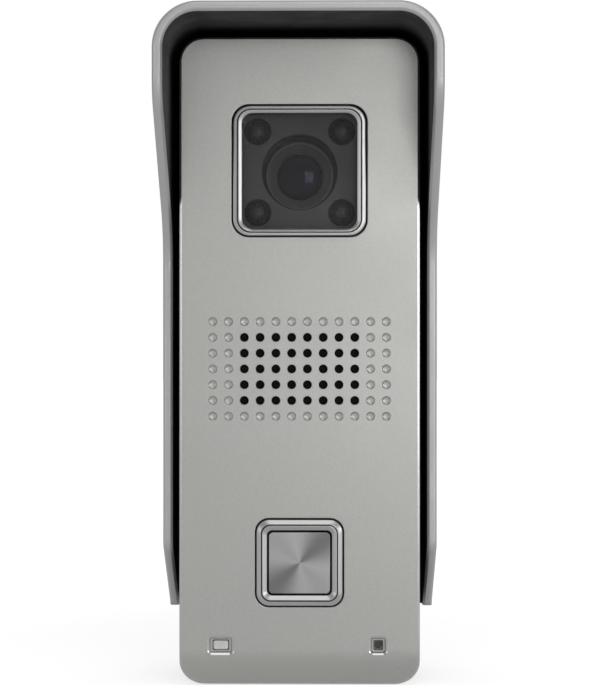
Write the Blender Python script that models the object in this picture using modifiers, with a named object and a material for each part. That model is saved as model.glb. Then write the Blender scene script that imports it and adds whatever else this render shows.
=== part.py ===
"""Video door station for a house wall: an aluminium-fronted intercom panel inside a rain hood.

The wall is the plane Y = 0 and the panel faces -Y, with +X to its right and +Z up. The origin is
on the wall face, level with the middle of the face plate. Depths are counted backwards from the
face plate's front, so that a piece's place reads like a stack of layers from the street to the wall.
"""

import math

import bmesh
import bpy
from mathutils import Matrix, Vector

MM = 0.001

# Driving dimensions
FACE_WIDTH = 48.2 * MM
FACE_HEIGHT = 130.0 * MM
FACE_CORNER = 5.0 * MM
FACE_TO_WALL = 29.0 * MM
WALL = 1.5 * MM
GAP = 0.3 * MM
HOOD_REACH = 22.0 * MM
HOOD_WALL = 2.0 * MM
HOOD_CLEARANCE = 1.7 * MM
HOOD_BOTTOM = -52.0 * MM

# Heights of the features on the face, from the middle of the plate
CAMERA_Z = 38.2 * MM
LENS_Z = CAMERA_Z - 0.7 * MM
SPEAKER_Z = -1.5 * MM
BUTTON_Z = -40.3 * MM
POCKET_X = 15.8 * MM
POCKET_Z = -56.9 * MM
CABLE_Z = -22.0 * MM

# Layers, as depths behind the face
PLATE_BACK = WALL
FLANGE_FRONT = PLATE_BACK + GAP
PLATE_RIM = 9.0 * MM
LENS_FRONT = 5.0 * MM
LENS_BACK = 14.6 * MM
CAMERA_BOARD_FRONT = 17.9 * MM
CAMERA_BOARD_BACK = CAMERA_BOARD_FRONT + 1.2 * MM
SEAL_FRONT = PLATE_RIM + GAP
SEAL_BACK = SEAL_FRONT + 0.8 * MM
HOUSING_FRONT = SEAL_BACK + GAP
BOARD_FRONT = 15.6 * MM
BOARD_BACK = BOARD_FRONT + 1.6 * MM
HOUSING_BACK = 24.6 * MM
HOUSING_FLOOR = HOUSING_BACK - WALL
PILLAR_FRONT = HOUSING_FRONT + 0.6 * MM
PILLAR_SEAT = 21.0 * MM
REBATE = 1.1 * MM
WINDOW_BACK = 2.9 * MM
MASK_BACK = 4.7 * MM
LAMP_BOARD_FRONT = 9.6 * MM
MAGNET_FRONT = 6.6 * MM
MAGNET_BACK = 10.2 * MM
CLAMP_FRONT = MAGNET_BACK + GAP
POCKET_DEPTH = 0.9 * MM
CAP_BACK = 1.2 * MM
CARRIER_FRONT = FLANGE_FRONT + 1.0 * MM + GAP
CARRIER_BACK = CARRIER_FRONT + 1.2 * MM
GUIDE_FLOOR = 8.6 * MM
STEM_BACK = 11.2 * MM
SWITCH_FRONT = 12.6 * MM
BRACKET_FRONT = 25.6 * MM
BRACKET_BACK = 26.7 * MM
HOOD_FLOOR = FACE_TO_WALL - HOOD_WALL

# Fixings shared by two or more pieces, as (x, z)
CORNER_SCREWS = [(x * MM, z * MM) for z in (58.0, -46.0) for x in (-19.9, 19.9)]
BOARD_SCREWS = [(x * MM, z * MM) for z in (14.5, -50.0) for x in (-14.0, 14.0)]
CAMERA_SCREWS = [(x * MM, CAMERA_Z) for x in (-18.0, 18.0)]
SPEAKER_SCREWS = [(x * MM, SPEAKER_Z) for x in (-18.6, 18.6)]
BRACKET_SCREWS = [(0.0, 12.0 * MM), (0.0, -38.0 * MM)]
HOOK_X = 15.5 * MM
HOOK_Z = 43.6 * MM
TAB_Z = -58.0 * MM
TAB_SCREW_DEPTH = 21.5 * MM
LED_X = 8.5 * MM
LED_Z = 8.2 * MM
WALL_SLOTS = (33.0 * MM, -48.0 * MM)
SCREW_SEAT_Z = -63.0 * MM
GROMMET_HOLE = 5.0 * MM

# Speaker holes: a grid whose inner field is drilled through and whose border is dimpled
HOLE_PITCH = 3.16 * MM
HOLE_RADIUS = 0.88 * MM
GRID = (12, 7)
DRILLED = (8, 5)

TAU = 2 * math.pi
MERGE = 1e-6


def material(name, colour, roughness, metallic=0.0):
    made = bpy.data.materials.new(name)
    made.use_nodes = True
    shader = made.node_tree.nodes["Principled BSDF"]
    shader.inputs["Base Color"].default_value = (*colour, 1.0)
    shader.inputs["Roughness"].default_value = roughness
    shader.inputs["Metallic"].default_value = metallic
    made.diffuse_color = (*colour, 1.0)
    return made


def clear_scene():
    for old in list(bpy.data.objects):
        bpy.data.objects.remove(old)


def new_collection(name):
    made = bpy.data.collections.new(name)
    bpy.context.scene.collection.children.link(made)
    return made


clear_scene()
STATION = new_collection("door_station")
CUTTERS = new_collection("cutters")

SATIN_ALUMINIUM = material("satin_aluminium", (0.47, 0.47, 0.46), 0.38, 1.0)
BRIGHT_TRIM = material("bright_trim", (0.62, 0.62, 0.61), 0.22, 1.0)
SPUN_METAL = material("spun_metal", (0.52, 0.52, 0.51), 0.3, 1.0)
SILVER_PAINT = material("silver_paint", (0.45, 0.45, 0.45), 0.42, 0.5)
BLACK_PLASTIC = material("black_plastic", (0.018, 0.018, 0.02), 0.55)
MASK_PLASTIC = material("mask_plastic", (0.06, 0.06, 0.063), 0.6)
RUBBER = material("rubber", (0.03, 0.03, 0.03), 0.85)
CIRCUIT_BOARD = material("circuit_board", (0.02, 0.16, 0.06), 0.45)
ZINC_STEEL = material("zinc_steel", (0.5, 0.5, 0.48), 0.4, 1.0)
WINDOW = material("smoked_window", (0.05, 0.05, 0.055), 0.08)
LENS_GLASS = material("lens_glass", (0.02, 0.02, 0.035), 0.03)
CLEAR_PLASTIC = material("clear_plastic", (0.75, 0.76, 0.74), 0.2)
MAGNET = material("magnet", (0.08, 0.08, 0.085), 0.5, 0.6)
FILM = material("speaker_film", (0.12, 0.11, 0.1), 0.4)
COPPER = material("copper_wire", (0.55, 0.25, 0.1), 0.35, 1.0)


def y_of(depth):
    """The Y of a plane this far behind the face."""
    return depth - FACE_TO_WALL


def rounded(corners, steps=5):
    """A closed outline with an arc at each corner. A corner is (u, v, radius)."""
    outline = []
    for i, (u, v, radius) in enumerate(corners):
        here = Vector((u, v))
        if radius == 0:
            outline.append(here)
            continue
        before = (Vector(corners[i - 1][:2]) - here).normalized()
        after = (Vector(corners[(i + 1) % len(corners)][:2]) - here).normalized()
        half = before.angle(after) / 2
        centre = here + (before + after).normalized() * radius / math.sin(half)
        reach = radius / math.tan(half)
        first = here + before * reach - centre
        last = here + after * reach - centre
        start = math.atan2(first.y, first.x)
        turn = (math.atan2(last.y, last.x) - start + math.pi) % TAU - math.pi
        for k in range(steps + 1):
            angle = start + turn * k / steps
            outline.append(centre + radius * Vector((math.cos(angle), math.sin(angle))))
    return outline


def rectangle(width, height, radius, centre=(0.0, 0.0), steps=5):
    x, z = width / 2, height / 2
    u, v = centre
    corners = [(u - x, v - z), (u + x, v - z), (u + x, v + z), (u - x, v + z)]
    return rounded([(*corner, radius) for corner in corners], steps)


def circle(radius, centre=(0.0, 0.0), steps=20):
    u, v = centre
    angles = [TAU * k / steps for k in range(steps)]
    return [Vector((u + radius * math.cos(a), v + radius * math.sin(a))) for a in angles]


def outline_mesh(name, outlines, thickness):
    """A flat plate in the local XY plane. Outlines inside the first are holes in it."""
    curve = bpy.data.curves.new(name, "CURVE")
    curve.dimensions = "2D"
    curve.fill_mode = "BOTH"
    curve.extrude = thickness / 2
    for outline in outlines:
        spline = curve.splines.new("POLY")
        spline.points.add(len(outline) - 1)
        for point, (u, v) in zip(spline.points, outline):
            point.co = (u, v, 0, 1)
        spline.use_cyclic_u = True
    guide = bpy.data.objects.new(name + "_outline", curve)
    CUTTERS.objects.link(guide)
    graph = bpy.context.evaluated_depsgraph_get()
    mesh = bpy.data.meshes.new_from_object(guide.evaluated_get(graph))
    bpy.data.objects.remove(guide)
    shape = bmesh.new()
    shape.from_mesh(mesh)
    bmesh.ops.remove_doubles(shape, verts=shape.verts, dist=MERGE)
    bmesh.ops.recalc_face_normals(shape, faces=shape.faces)
    shape.to_mesh(mesh)
    shape.free()
    mesh.name = name
    return mesh


def place(name, mesh, location, finish=None):
    """A sub-part with its finish or, with no finish, a hidden cutter."""
    obj = bpy.data.objects.new(name, mesh)
    obj.location = location
    if finish:
        STATION.objects.link(obj)
        mesh.materials.clear()
        mesh.materials.append(finish)
    else:
        CUTTERS.objects.link(obj)
        obj.hide_render = True
        obj.display_type = "WIRE"
    return obj


def plate(name, outlines, front, back, finish=None, centre=(0.0, 0.0)):
    """Outlines in X and Z around centre, made solid between two depths behind the face."""
    mesh = outline_mesh(name, outlines, back - front)
    mesh.transform(Matrix.Rotation(math.pi / 2, 4, "X"))
    x, z = centre
    return place(name, mesh, (x, y_of((front + back) / 2), z), finish)


def side_plate(name, outline, width, finish=None, x=0.0):
    """An outline of (depth, z) points, made solid along X."""
    mesh = outline_mesh(name, [outline], width)
    along_x = Matrix(((0, 0, 1, 0), (1, 0, 0, 0), (0, 1, 0, 0), (0, 0, 0, 1)))
    mesh.transform(along_x)
    return place(name, mesh, (x, y_of(0), 0), finish)


def lathe(name, points, location, finish=None, steps=24, hollow=False):
    """A piece turned about its own Z from (radius, height) points, top first."""
    mesh = bpy.data.meshes.new(name)
    edges = [(i, i + 1) for i in range(len(points) - 1)]
    if hollow:
        edges.append((len(points) - 1, 0))
    mesh.from_pydata([(radius, 0, height) for radius, height in points], edges, [])
    obj = place(name, mesh, location, finish)
    screw = obj.modifiers.new("turn", "SCREW")
    screw.steps = steps
    screw.render_steps = steps
    screw.use_merge_vertices = True
    screw.merge_threshold = MERGE
    return obj


def turned(name, profile, finish=None, centre=(0.0, 0.0), steps=24, hollow=False):
    """A piece turned about the Y direction from (radius, depth) points, front first."""
    x, z = centre
    points = [(radius, -depth) for radius, depth in profile]
    obj = lathe(name, points, (x, y_of(0), z), finish, steps, hollow)
    obj.rotation_euler = (math.pi / 2, 0, 0)
    return obj


def rods(name, centres, radius, front, back, steps=12):
    """Parallel cylinders between two depths, as one cutter."""
    shape = bmesh.new()
    for x, z in centres:
        spot = Matrix.Translation((x, (front + back) / 2, z)) @ Matrix.Rotation(math.pi / 2, 4, "X")
        bmesh.ops.create_cone(
            shape,
            cap_ends=True,
            segments=steps,
            radius1=radius,
            radius2=radius,
            depth=back - front,
            matrix=spot,
        )
    mesh = bpy.data.meshes.new(name)
    shape.to_mesh(mesh)
    shape.free()
    return place(name, mesh, (0, y_of(0), 0))


def upright_rod(name, radius, x, depth, low, high, steps=12):
    shape = bmesh.new()
    bmesh.ops.create_cone(
        shape, cap_ends=True, segments=steps, radius1=radius, radius2=radius, depth=high - low
    )
    mesh = bpy.data.meshes.new(name)
    shape.to_mesh(mesh)
    shape.free()
    return place(name, mesh, (x, y_of(depth), (low + high) / 2))


def boolean(piece, tool, operation):
    modifier = piece.modifiers.new(tool.name, "BOOLEAN")
    modifier.operation = operation
    modifier.object = tool


def cut(piece, *tools):
    for tool in tools:
        boolean(piece, tool, "DIFFERENCE")


def fuse(piece, *tools):
    for tool in tools:
        boolean(piece, tool, "UNION")


def soften(piece, width, segments=2):
    """Rounds the piece's sharp edges."""
    bevel = piece.modifiers.new("soft_edges", "BEVEL")
    bevel.width = width
    bevel.segments = segments
    bevel.limit_method = "ANGLE"
    bevel.angle_limit = math.radians(50)


def screw_piece(name, centre, head_front, head_radius, head_height, shank_radius, shank_back):
    """A pan-head screw with a cross recess, from its head's outer face to its tip."""
    forward = shank_back > head_front
    step = head_height if forward else -head_height
    rim = head_radius * 0.75
    outer = [
        (0, head_front),
        (rim, head_front),
        (head_radius, head_front + step * 0.4),
        (head_radius, head_front + step),
        (shank_radius, head_front + step),
        (shank_radius, shank_back),
        (0, shank_back),
    ]
    made = turned(name, outer if forward else outer[::-1], ZINC_STEEL, centre, steps=12)
    slot = head_radius * 0.18
    arm = head_radius * 0.62
    near, far = sorted((head_front - step * 0.5, head_front + step * 0.55))
    end = slot * 0.7
    cross = [
        (-end, -arm), (end, -arm), (slot, -slot), (arm, -end), (arm, end), (slot, slot),
        (end, arm), (-end, arm), (-slot, slot), (-arm, end), (-arm, -end), (-slot, -slot),
    ]
    cut(made, plate(name + "_recess", [cross], near, far, centre=centre))
    return made


# ---------------------------------------------------------------- hood and bracket


def hood_outline(margin, bottom):
    """The hood's outline, drawn in by a margin: square below, round at the top."""
    side = FACE_WIDTH / 2 + HOOD_CLEARANCE + HOOD_WALL - margin
    top = FACE_HEIGHT / 2 + HOOD_CLEARANCE + HOOD_WALL - margin
    corner = FACE_CORNER + HOOD_CLEARANCE + HOOD_WALL - margin
    corners = [(-side, bottom, 0), (side, bottom, 0), (side, top, corner), (-side, top, corner)]
    return rounded(corners, 7)


def hood_front_cutter():
    """Everything in front of the hood's side profile: deep eaves, a slope, a slim strip, a taper."""
    far, high, low = -40.0 * MM, 80.0 * MM, -80.0 * MM
    eaves_z = 50.5 * MM
    strip_depth, strip_top, strip_bottom = 5.0 * MM, 25.5 * MM, -38.0 * MM
    foot_depth, foot_z = 25.0 * MM, -52.6 * MM
    profile = [
        (far, high, 0),
        (-HOOD_REACH, high, 0),
        (-HOOD_REACH, eaves_z, 8.0 * MM),
        (strip_depth, strip_top, 14.0 * MM),
        (strip_depth, strip_bottom, 3.0 * MM),
        (foot_depth, foot_z, 0),
        (foot_depth, low, 0),
        (far, low, 0),
    ]
    return side_plate("hood_front_cutter", rounded(profile[::-1], 8), 80.0 * MM)


def rain_hood():
    front = -HOOD_REACH - 3.0 * MM
    outline = hood_outline(0, HOOD_BOTTOM)
    hood = plate("rain_hood", [outline], front, FACE_TO_WALL, SILVER_PAINT)
    hollow = hood_outline(HOOD_WALL, HOOD_BOTTOM - 20.0 * MM)
    cut(hood, plate("hood_hollow", [hollow], front - HOOD_WALL, HOOD_FLOOR))
    cut(hood, hood_front_cutter())
    tongue = rectangle(44.0 * MM, 20.0 * MM, 4.0 * MM)
    low = HOOD_BOTTOM - 10.0 * MM
    fuse(hood, plate("hood_tongue", [tongue], HOOD_FLOOR, FACE_TO_WALL, centre=(0, low + 10.0 * MM)))
    behind = FACE_TO_WALL + HOOD_WALL
    before = HOOD_FLOOR - HOOD_WALL
    window = rectangle(20.0 * MM, 16.0 * MM, 3.0 * MM)
    cut(hood, plate("hood_cable_window", [window], before, behind, centre=(0, CABLE_Z)))
    for number, z in enumerate(WALL_SLOTS, 1):
        slot = rectangle(4.4 * MM, 9.0 * MM, 2.19 * MM)
        cut(hood, plate(f"hood_wall_slot_{number}", [slot], before, behind, centre=(0, z)))
    pilot = rods("hood_pilots", BRACKET_SCREWS, 1.3 * MM, before, behind)
    cut(hood, pilot)
    return hood


def mounting_bracket():
    """Steel plate with two hooks that the station hangs on and a bottom tab for its screw."""
    width, top, bottom = 33.0 * MM, 50.0 * MM, -60.0 * MM
    middle = (top + bottom) / 2
    holes = [
        rectangle(20.0 * MM, 16.0 * MM, 3.0 * MM, (0, CABLE_Z - middle)),
        *[rectangle(4.4 * MM, 9.0 * MM, 2.19 * MM, (0, z - middle)) for z in WALL_SLOTS],
        *[circle(1.9 * MM, (x, z - middle), 12) for x, z in BRACKET_SCREWS],
    ]
    sheet = rectangle(width, top - bottom, 3.0 * MM)
    bracket = plate(
        "mounting_bracket", [sheet, *holes], BRACKET_FRONT, BRACKET_BACK, ZINC_STEEL, (0, middle)
    )
    thick = BRACKET_BACK - BRACKET_FRONT
    root = BRACKET_BACK - 0.5 * MM
    lip_back = HOUSING_FLOOR - GAP
    lip_front = lip_back - thick
    lip_top = HOOK_Z + 4.4 * MM
    hook = [
        (root, HOOK_Z), (root, HOOK_Z + thick), (lip_back, HOOK_Z + thick), (lip_back, lip_top),
        (lip_front, lip_top), (lip_front, HOOK_Z),
    ]
    for side in (-1, 1):
        fuse(bracket, side_plate(f"hook_{side}", hook, 4.0 * MM, x=side * HOOK_X))
    tab_front = TAB_SCREW_DEPTH - 3.0 * MM
    tab = [(root, TAB_Z), (tab_front, TAB_Z), (tab_front, TAB_Z - thick), (root, TAB_Z - thick)]
    fuse(bracket, side_plate("bracket_tab", tab, 12.0 * MM))
    below, above = TAB_Z - 2 * thick, TAB_Z + thick
    thread = upright_rod("tab_thread", 1.35 * MM, 0, TAB_SCREW_DEPTH, below, above)
    cut(bracket, thread)
    return bracket


def bracket_screws():
    head = BRACKET_FRONT - 0.7 * MM
    for number, centre in enumerate(BRACKET_SCREWS, 1):
        name = f"bracket_screw_{number}"
        screw_piece(name, centre, head, 2.6 * MM, 0.4 * MM, 1.0 * MM, FACE_TO_WALL - 0.4 * MM)


def security_screw():
    """Comes up through the housing's bottom wall into the bracket's tab."""
    low = -FACE_HEIGHT / 2 + 0.3 * MM
    shoulder = SCREW_SEAT_Z - GAP
    tip = TAB_Z + 1.2 * MM
    head_radius, shank_radius, edge = 2.6 * MM, 1.0 * MM, 0.4 * MM
    points = [
        (0, tip), (shank_radius, tip), (shank_radius, shoulder), (head_radius, shoulder),
        (head_radius, low + edge), (head_radius - edge, low), (0, low),
    ]
    place_at = (0, y_of(TAB_SCREW_DEPTH), 0)
    screw = lathe("security_screw", points, place_at, ZINC_STEEL, 16)
    socket = upright_rod("screw_socket", 1.2 * MM, 0, TAB_SCREW_DEPTH, low - MM, low + MM, 6)
    cut(screw, socket)


# ---------------------------------------------------------------- housing and face plate


def rear_housing():
    """Open-fronted tray behind the face plate, with screw pillars and the hooks' slots."""
    outline = rectangle(FACE_WIDTH, FACE_HEIGHT, FACE_CORNER)
    inside = rectangle(FACE_WIDTH - 2 * WALL, FACE_HEIGHT - 2 * WALL, FACE_CORNER - WALL)
    housing = plate("rear_housing", [outline], HOUSING_FRONT, HOUSING_BACK, BLACK_PLASTIC)
    soften(housing, 0.5 * MM, 1)
    cut(housing, plate("housing_hollow", [inside], HOUSING_FRONT - MM, HOUSING_FLOOR))
    root = HOUSING_FLOOR + 0.5 * MM
    pillars = rods("housing_pillars", CORNER_SCREWS, 2.9 * MM, PILLAR_FRONT, root, 16)
    fuse(housing, pillars)
    boss = rectangle(11.0 * MM, 3.6 * MM, 0.5 * MM, steps=1)
    boss_z = (SCREW_SEAT_Z - FACE_HEIGHT / 2 + 2.5 * MM) / 2
    fuse(housing, plate("screw_boss", [boss], 17.6 * MM, root, centre=(0, boss_z)))
    wall_screws = [(0, z) for z in WALL_SLOTS]
    fuse(housing, rods("head_bumps", wall_screws, 6.0 * MM, 20.6 * MM, root, 24))
    cut(housing, rods("head_pockets", wall_screws, 4.6 * MM, 22.1 * MM, HOUSING_BACK + MM, 24))
    cut(housing, rods("pillar_holes", CORNER_SCREWS, 1.45 * MM, MM, HOUSING_BACK + MM))
    cut(housing, rods("pillar_recess", CORNER_SCREWS, 2.35 * MM, PILLAR_SEAT, HOUSING_BACK + MM, 16))
    outside = -FACE_HEIGHT / 2 - MM
    cut(housing, upright_rod("boss_hole", 1.4 * MM, 0, TAB_SCREW_DEPTH, outside, TAB_Z))
    cut(housing, upright_rod("boss_recess", 3.0 * MM, 0, TAB_SCREW_DEPTH, outside, SCREW_SEAT_Z, 16))
    near, far = HOUSING_FLOOR - MM, HOUSING_BACK + MM
    for side in (-1, 1):
        slot = rectangle(4.8 * MM, 5.2 * MM, 0.4 * MM, steps=1)
        spot = (side * HOOK_X, HOOK_Z - 1.2 * MM)
        cut(housing, plate(f"hook_slot_{side}", [slot], near, far, centre=spot))
    tab_slot = rectangle(12.8 * MM, 2.4 * MM, 0.4 * MM, steps=1)
    cut(housing, plate("tab_slot", [tab_slot], near, far, centre=(0, TAB_Z - 0.5 * MM)))
    cut(housing, rods("grommet_hole", [(0, CABLE_Z)], GROMMET_HOLE, near, far, 24))


def housing_screws():
    for number, centre in enumerate(CORNER_SCREWS, 1):
        name = f"housing_screw_{number}"
        head_back = PILLAR_SEAT + GAP + 1.6 * MM
        screw_piece(name, centre, head_back, 2.0 * MM, 1.6 * MM, 1.0 * MM, 4.5 * MM)


def cable_grommet():
    neck, flange, bore = GROMMET_HOLE - GAP, GROMMET_HOLE + 1.6 * MM, 2.6 * MM
    inner = HOUSING_FLOOR - GAP
    outer = HOUSING_BACK + GAP
    end = outer + 1.8 * MM
    profile = [
        (bore, inner - 1.5 * MM), (flange, inner - 1.5 * MM), (flange, inner), (neck, inner),
        (neck, outer), (flange, outer), (flange, outer + MM), (bore + 0.8 * MM, end), (bore, end),
    ]
    turned("cable_grommet", profile, RUBBER, (0, CABLE_Z), hollow=True)


def housing_gasket():
    outer = rectangle(FACE_WIDTH - 0.4 * MM, FACE_HEIGHT - 0.4 * MM, FACE_CORNER)
    inner = rectangle(FACE_WIDTH - 2.6 * MM, FACE_HEIGHT - 2.6 * MM, FACE_CORNER - WALL)
    plate("housing_gasket", [outer, inner], SEAL_FRONT, SEAL_BACK, RUBBER)


def grid_points():
    """The speaker grid's drilled holes and its dimples."""
    drilled, dimpled = [], []
    columns, rows = GRID
    for i in range(columns):
        for j in range(rows):
            u = i - (columns - 1) / 2
            v = j - (rows - 1) / 2
            spot = (u * HOLE_PITCH, SPEAKER_Z + v * HOLE_PITCH)
            inner = abs(u) < DRILLED[0] / 2 and abs(v) < DRILLED[1] / 2
            (drilled if inner else dimpled).append(spot)
    return drilled, dimpled


def foot_round():
    """The corner that is removed where the plate's front rolls back at its lower end."""
    low = -FACE_HEIGHT / 2
    radius, inset = 6.8 * MM, 6.6 * MM
    start, sweep, steps = math.radians(250), math.radians(-70), 7
    centre = Vector((inset, low + 5.2 * MM))
    beyond = 3.0 * MM
    arc = []
    for k in range(steps + 1):
        angle = start + sweep * k / steps
        arc.append(centre + radius * Vector((math.cos(angle), math.sin(angle))))
    corner = [Vector((-beyond, arc[-1].y)), Vector((-beyond, low - beyond))]
    corner.append(Vector((arc[0].x, low - beyond)))
    return side_plate("foot_round", [*corner, *arc], 60.0 * MM)


def face_plate():
    outline = rectangle(FACE_WIDTH, FACE_HEIGHT, FACE_CORNER, steps=6)
    face = plate("face_plate", [outline], 0, PLATE_RIM, SATIN_ALUMINIUM)
    soften(face, 0.5 * MM)
    behind = PLATE_RIM + MM
    lower = rectangle(FACE_WIDTH - 2 * WALL - 0.4 * MM, 12.0 * MM, FACE_CORNER - WALL)
    lower_z = -FACE_HEIGHT / 2 + WALL + 6.0 * MM
    cut(face, plate("plate_foot_hollow", [lower], PLATE_RIM - 2.2 * MM, behind, centre=(0, lower_z)))
    shorter = 3.0 * MM
    height = FACE_HEIGHT - 2 * WALL - shorter
    upper = rectangle(FACE_WIDTH - 2 * WALL, height, FACE_CORNER - WALL)
    cut(face, plate("plate_hollow", [upper], PLATE_BACK, behind, centre=(0, shorter / 2)))
    root = PLATE_BACK - 0.5 * MM
    fuse(face, rods("plate_pillars", CORNER_SCREWS, 2.3 * MM, root, PILLAR_FRONT - GAP, 16))
    fuse(face, rods("board_posts", BOARD_SCREWS, 2.0 * MM, root, BOARD_FRONT - GAP))
    fuse(face, rods("camera_posts", CAMERA_SCREWS, 2.0 * MM, root, CAMERA_BOARD_FRONT - GAP))
    fuse(face, rods("speaker_posts", SPEAKER_SCREWS, 1.9 * MM, root, CLAMP_FRONT - GAP))
    pilots = CORNER_SCREWS + BOARD_SCREWS + CAMERA_SCREWS + SPEAKER_SCREWS
    cut(face, rods("pilot_holes", pilots, 1.35 * MM, 4.0 * MM, HOUSING_BACK))
    camera = rectangle(27.2 * MM, 26.6 * MM, 3.5 * MM)
    button = rectangle(17.8 * MM, 17.8 * MM, 2.8 * MM)
    cut(face, plate("camera_opening", [camera], -MM, PLATE_BACK + MM, centre=(0, CAMERA_Z)))
    cut(face, plate("button_opening", [button], -MM, PLATE_BACK + MM, centre=(0, BUTTON_Z)))
    drilled, dimpled = grid_points()
    cut(face, rods("drilled_holes", drilled, HOLE_RADIUS, -MM, PLATE_BACK + MM, 10))
    cut(face, rods("dimples", dimpled, HOLE_RADIUS, -MM, 0.5 * MM, 8))
    pockets = (
        ("light", -POCKET_X, rectangle(5.2 * MM, 3.7 * MM, 0.9 * MM), (3.4 * MM, 2.2 * MM)),
        ("voice", POCKET_X, rectangle(3.6 * MM, 3.7 * MM, 0.9 * MM), (2.0 * MM, 2.1 * MM)),
    )
    for name, x, pocket, hole in pockets:
        cut(face, plate(name + "_pocket", [pocket], -MM, POCKET_DEPTH, centre=(x, POCKET_Z)))
        through = rectangle(*hole, 0.4 * MM, steps=2)
        cut(face, plate(name + "_hole", [through], -MM, PLATE_BACK + MM, centre=(x, POCKET_Z)))
    cut(face, foot_round())


# ---------------------------------------------------------------- camera


def camera_bezel():
    centre = (0, CAMERA_Z)
    back = FLANGE_FRONT + 1.4 * MM
    outer = rectangle(26.6 * MM, 26.0 * MM, 3.2 * MM)
    flange = rectangle(30.4 * MM, 29.6 * MM, 3.5 * MM)
    bezel = plate("camera_bezel", [outer], -0.3 * MM, back, BRIGHT_TRIM, centre)
    soften(bezel, 0.3 * MM, 1)
    fuse(bezel, plate("bezel_flange", [flange], FLANGE_FRONT, back - 0.1 * MM, centre=centre))
    opening = rectangle(23.1 * MM, 23.2 * MM, 2.2 * MM)
    rebate = rectangle(25.6 * MM, 25.0 * MM, 2.6 * MM)
    cut(bezel, plate("window_opening", [opening], -MM, back + MM, centre=centre))
    cut(bezel, plate("window_rebate", [rebate], REBATE, back + MM, centre=centre))


def camera_window():
    centre = (0, CAMERA_Z)
    outer = rectangle(25.0 * MM, 24.4 * MM, 2.3 * MM)
    inner = rectangle(23.5 * MM, 23.4 * MM, 2.2 * MM)
    front = REBATE + 0.2 * MM
    seal_back = front + 0.4 * MM
    plate("window_seal", [outer, inner], front, seal_back, RUBBER, centre)
    plate("camera_window", [outer], seal_back + 0.2 * MM, WINDOW_BACK, WINDOW, centre)


def camera_mask():
    """Dark carrier behind the window with a hole for the lens and one for each lamp."""
    front = WINDOW_BACK + 2 * GAP
    sheet = rectangle(28.4 * MM, 27.6 * MM, 3.0 * MM)
    centre = (0, CAMERA_Z)
    mask = plate("camera_mask", [sheet], front, MASK_BACK, MASK_PLASTIC, centre)
    beyond = MASK_BACK + MM
    cut(mask, rods("lens_hole", [centre], 7.65 * MM, front - MM, beyond, 36))
    cut(mask, rods("lamp_holes", lamp_spots(), 2.75 * MM, front - MM, beyond, 20))


def lamp_spots():
    return [(x * LED_X, CAMERA_Z + z * LED_Z) for z in (1, -1) for x in (-1, 1)]


def infrared_lamps():
    radius = 2.4 * MM
    tip = WINDOW_BACK + 0.6 * MM
    dome = []
    for k in range(5):
        angle = math.pi / 2 * k / 4
        dome.append((radius * math.sin(angle), tip + radius * (1 - math.cos(angle))))
    rim = LAMP_BOARD_FRONT - GAP
    rim_front = rim - 0.9 * MM
    base = [(radius, rim_front), (radius + 0.25 * MM, rim_front), (radius + 0.25 * MM, rim), (0, rim)]
    for number, spot in enumerate(lamp_spots(), 1):
        turned(f"ir_led_{number}", dome + base, LENS_GLASS, spot, 16)
    sheet = rectangle(27.0 * MM, 26.0 * MM, 2.0 * MM)
    hole = circle(7.4 * MM, steps=32)
    centre = (0, CAMERA_Z)
    back = LAMP_BOARD_FRONT + MM
    plate("ir_led_board", [sheet, hole], LAMP_BOARD_FRONT, back, CIRCUIT_BOARD, centre)


def lens():
    """Wide-mouthed barrel, its front element deep inside, and the holder it screws into."""
    centre = (0, LENS_Z)
    head, thread, seat, bore = 6.9 * MM, 5.9 * MM, 4.9 * MM, 3.0 * MM
    mouth_back = LENS_FRONT + 2.2 * MM
    seat_back = mouth_back + 1.8 * MM
    barrel = [
        (head - 0.5 * MM, LENS_FRONT), (head, LENS_FRONT + 0.3 * MM), (head, seat_back),
        (thread, seat_back), (thread, LENS_BACK), (bore, LENS_BACK), (bore, seat_back - 0.3 * MM),
        (seat, seat_back - 0.3 * MM), (seat, mouth_back),
    ]
    turned("lens_barrel", barrel, BLACK_PLASTIC, centre, 32, hollow=True)
    radius = seat - GAP
    edge = mouth_back + 0.8 * MM
    front = mouth_back - 0.2 * MM
    dome = []
    for k in range(6):
        angle = math.pi / 2 * k / 5
        dome.append((radius * math.sin(angle), edge - (edge - front) * math.cos(angle)))
    flat = seat_back - 2 * GAP
    turned("lens_front_glass", [*dome, (radius, flat), (0, flat)], LENS_GLASS, centre, 32)
    holder_front = LENS_BACK - 2.6 * MM
    holder_back = CAMERA_BOARD_FRONT - GAP
    body = rectangle(16.0 * MM, 16.0 * MM, 1.5 * MM, steps=3)
    bore_outline = circle(thread + GAP, steps=32)
    plate("lens_holder", [body, bore_outline], holder_front, holder_back, BLACK_PLASTIC, centre)


def camera_board():
    centre = (0, CAMERA_Z)
    sheet = rectangle(41.0 * MM, 25.0 * MM, 1.5 * MM, steps=2)
    holes = [circle(1.3 * MM, (x, 0), 12) for x, _ in CAMERA_SCREWS]
    front, back = CAMERA_BOARD_FRONT, CAMERA_BOARD_BACK
    plate("camera_board", [sheet, *holes], front, back, CIRCUIT_BOARD, centre)
    chip = rectangle(8.4 * MM, 7.2 * MM, 0.3 * MM, steps=1)
    chip_back = front - GAP
    plate("image_sensor", [chip], chip_back - 1.2 * MM, chip_back, MASK_PLASTIC, (0, LENS_Z))
    for number, spot in enumerate(CAMERA_SCREWS, 1):
        head = back + GAP + 1.3 * MM
        screw_piece(f"camera_screw_{number}", spot, head, 1.9 * MM, 1.3 * MM, 1.0 * MM, 9.0 * MM)


# ---------------------------------------------------------------- speaker


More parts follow.
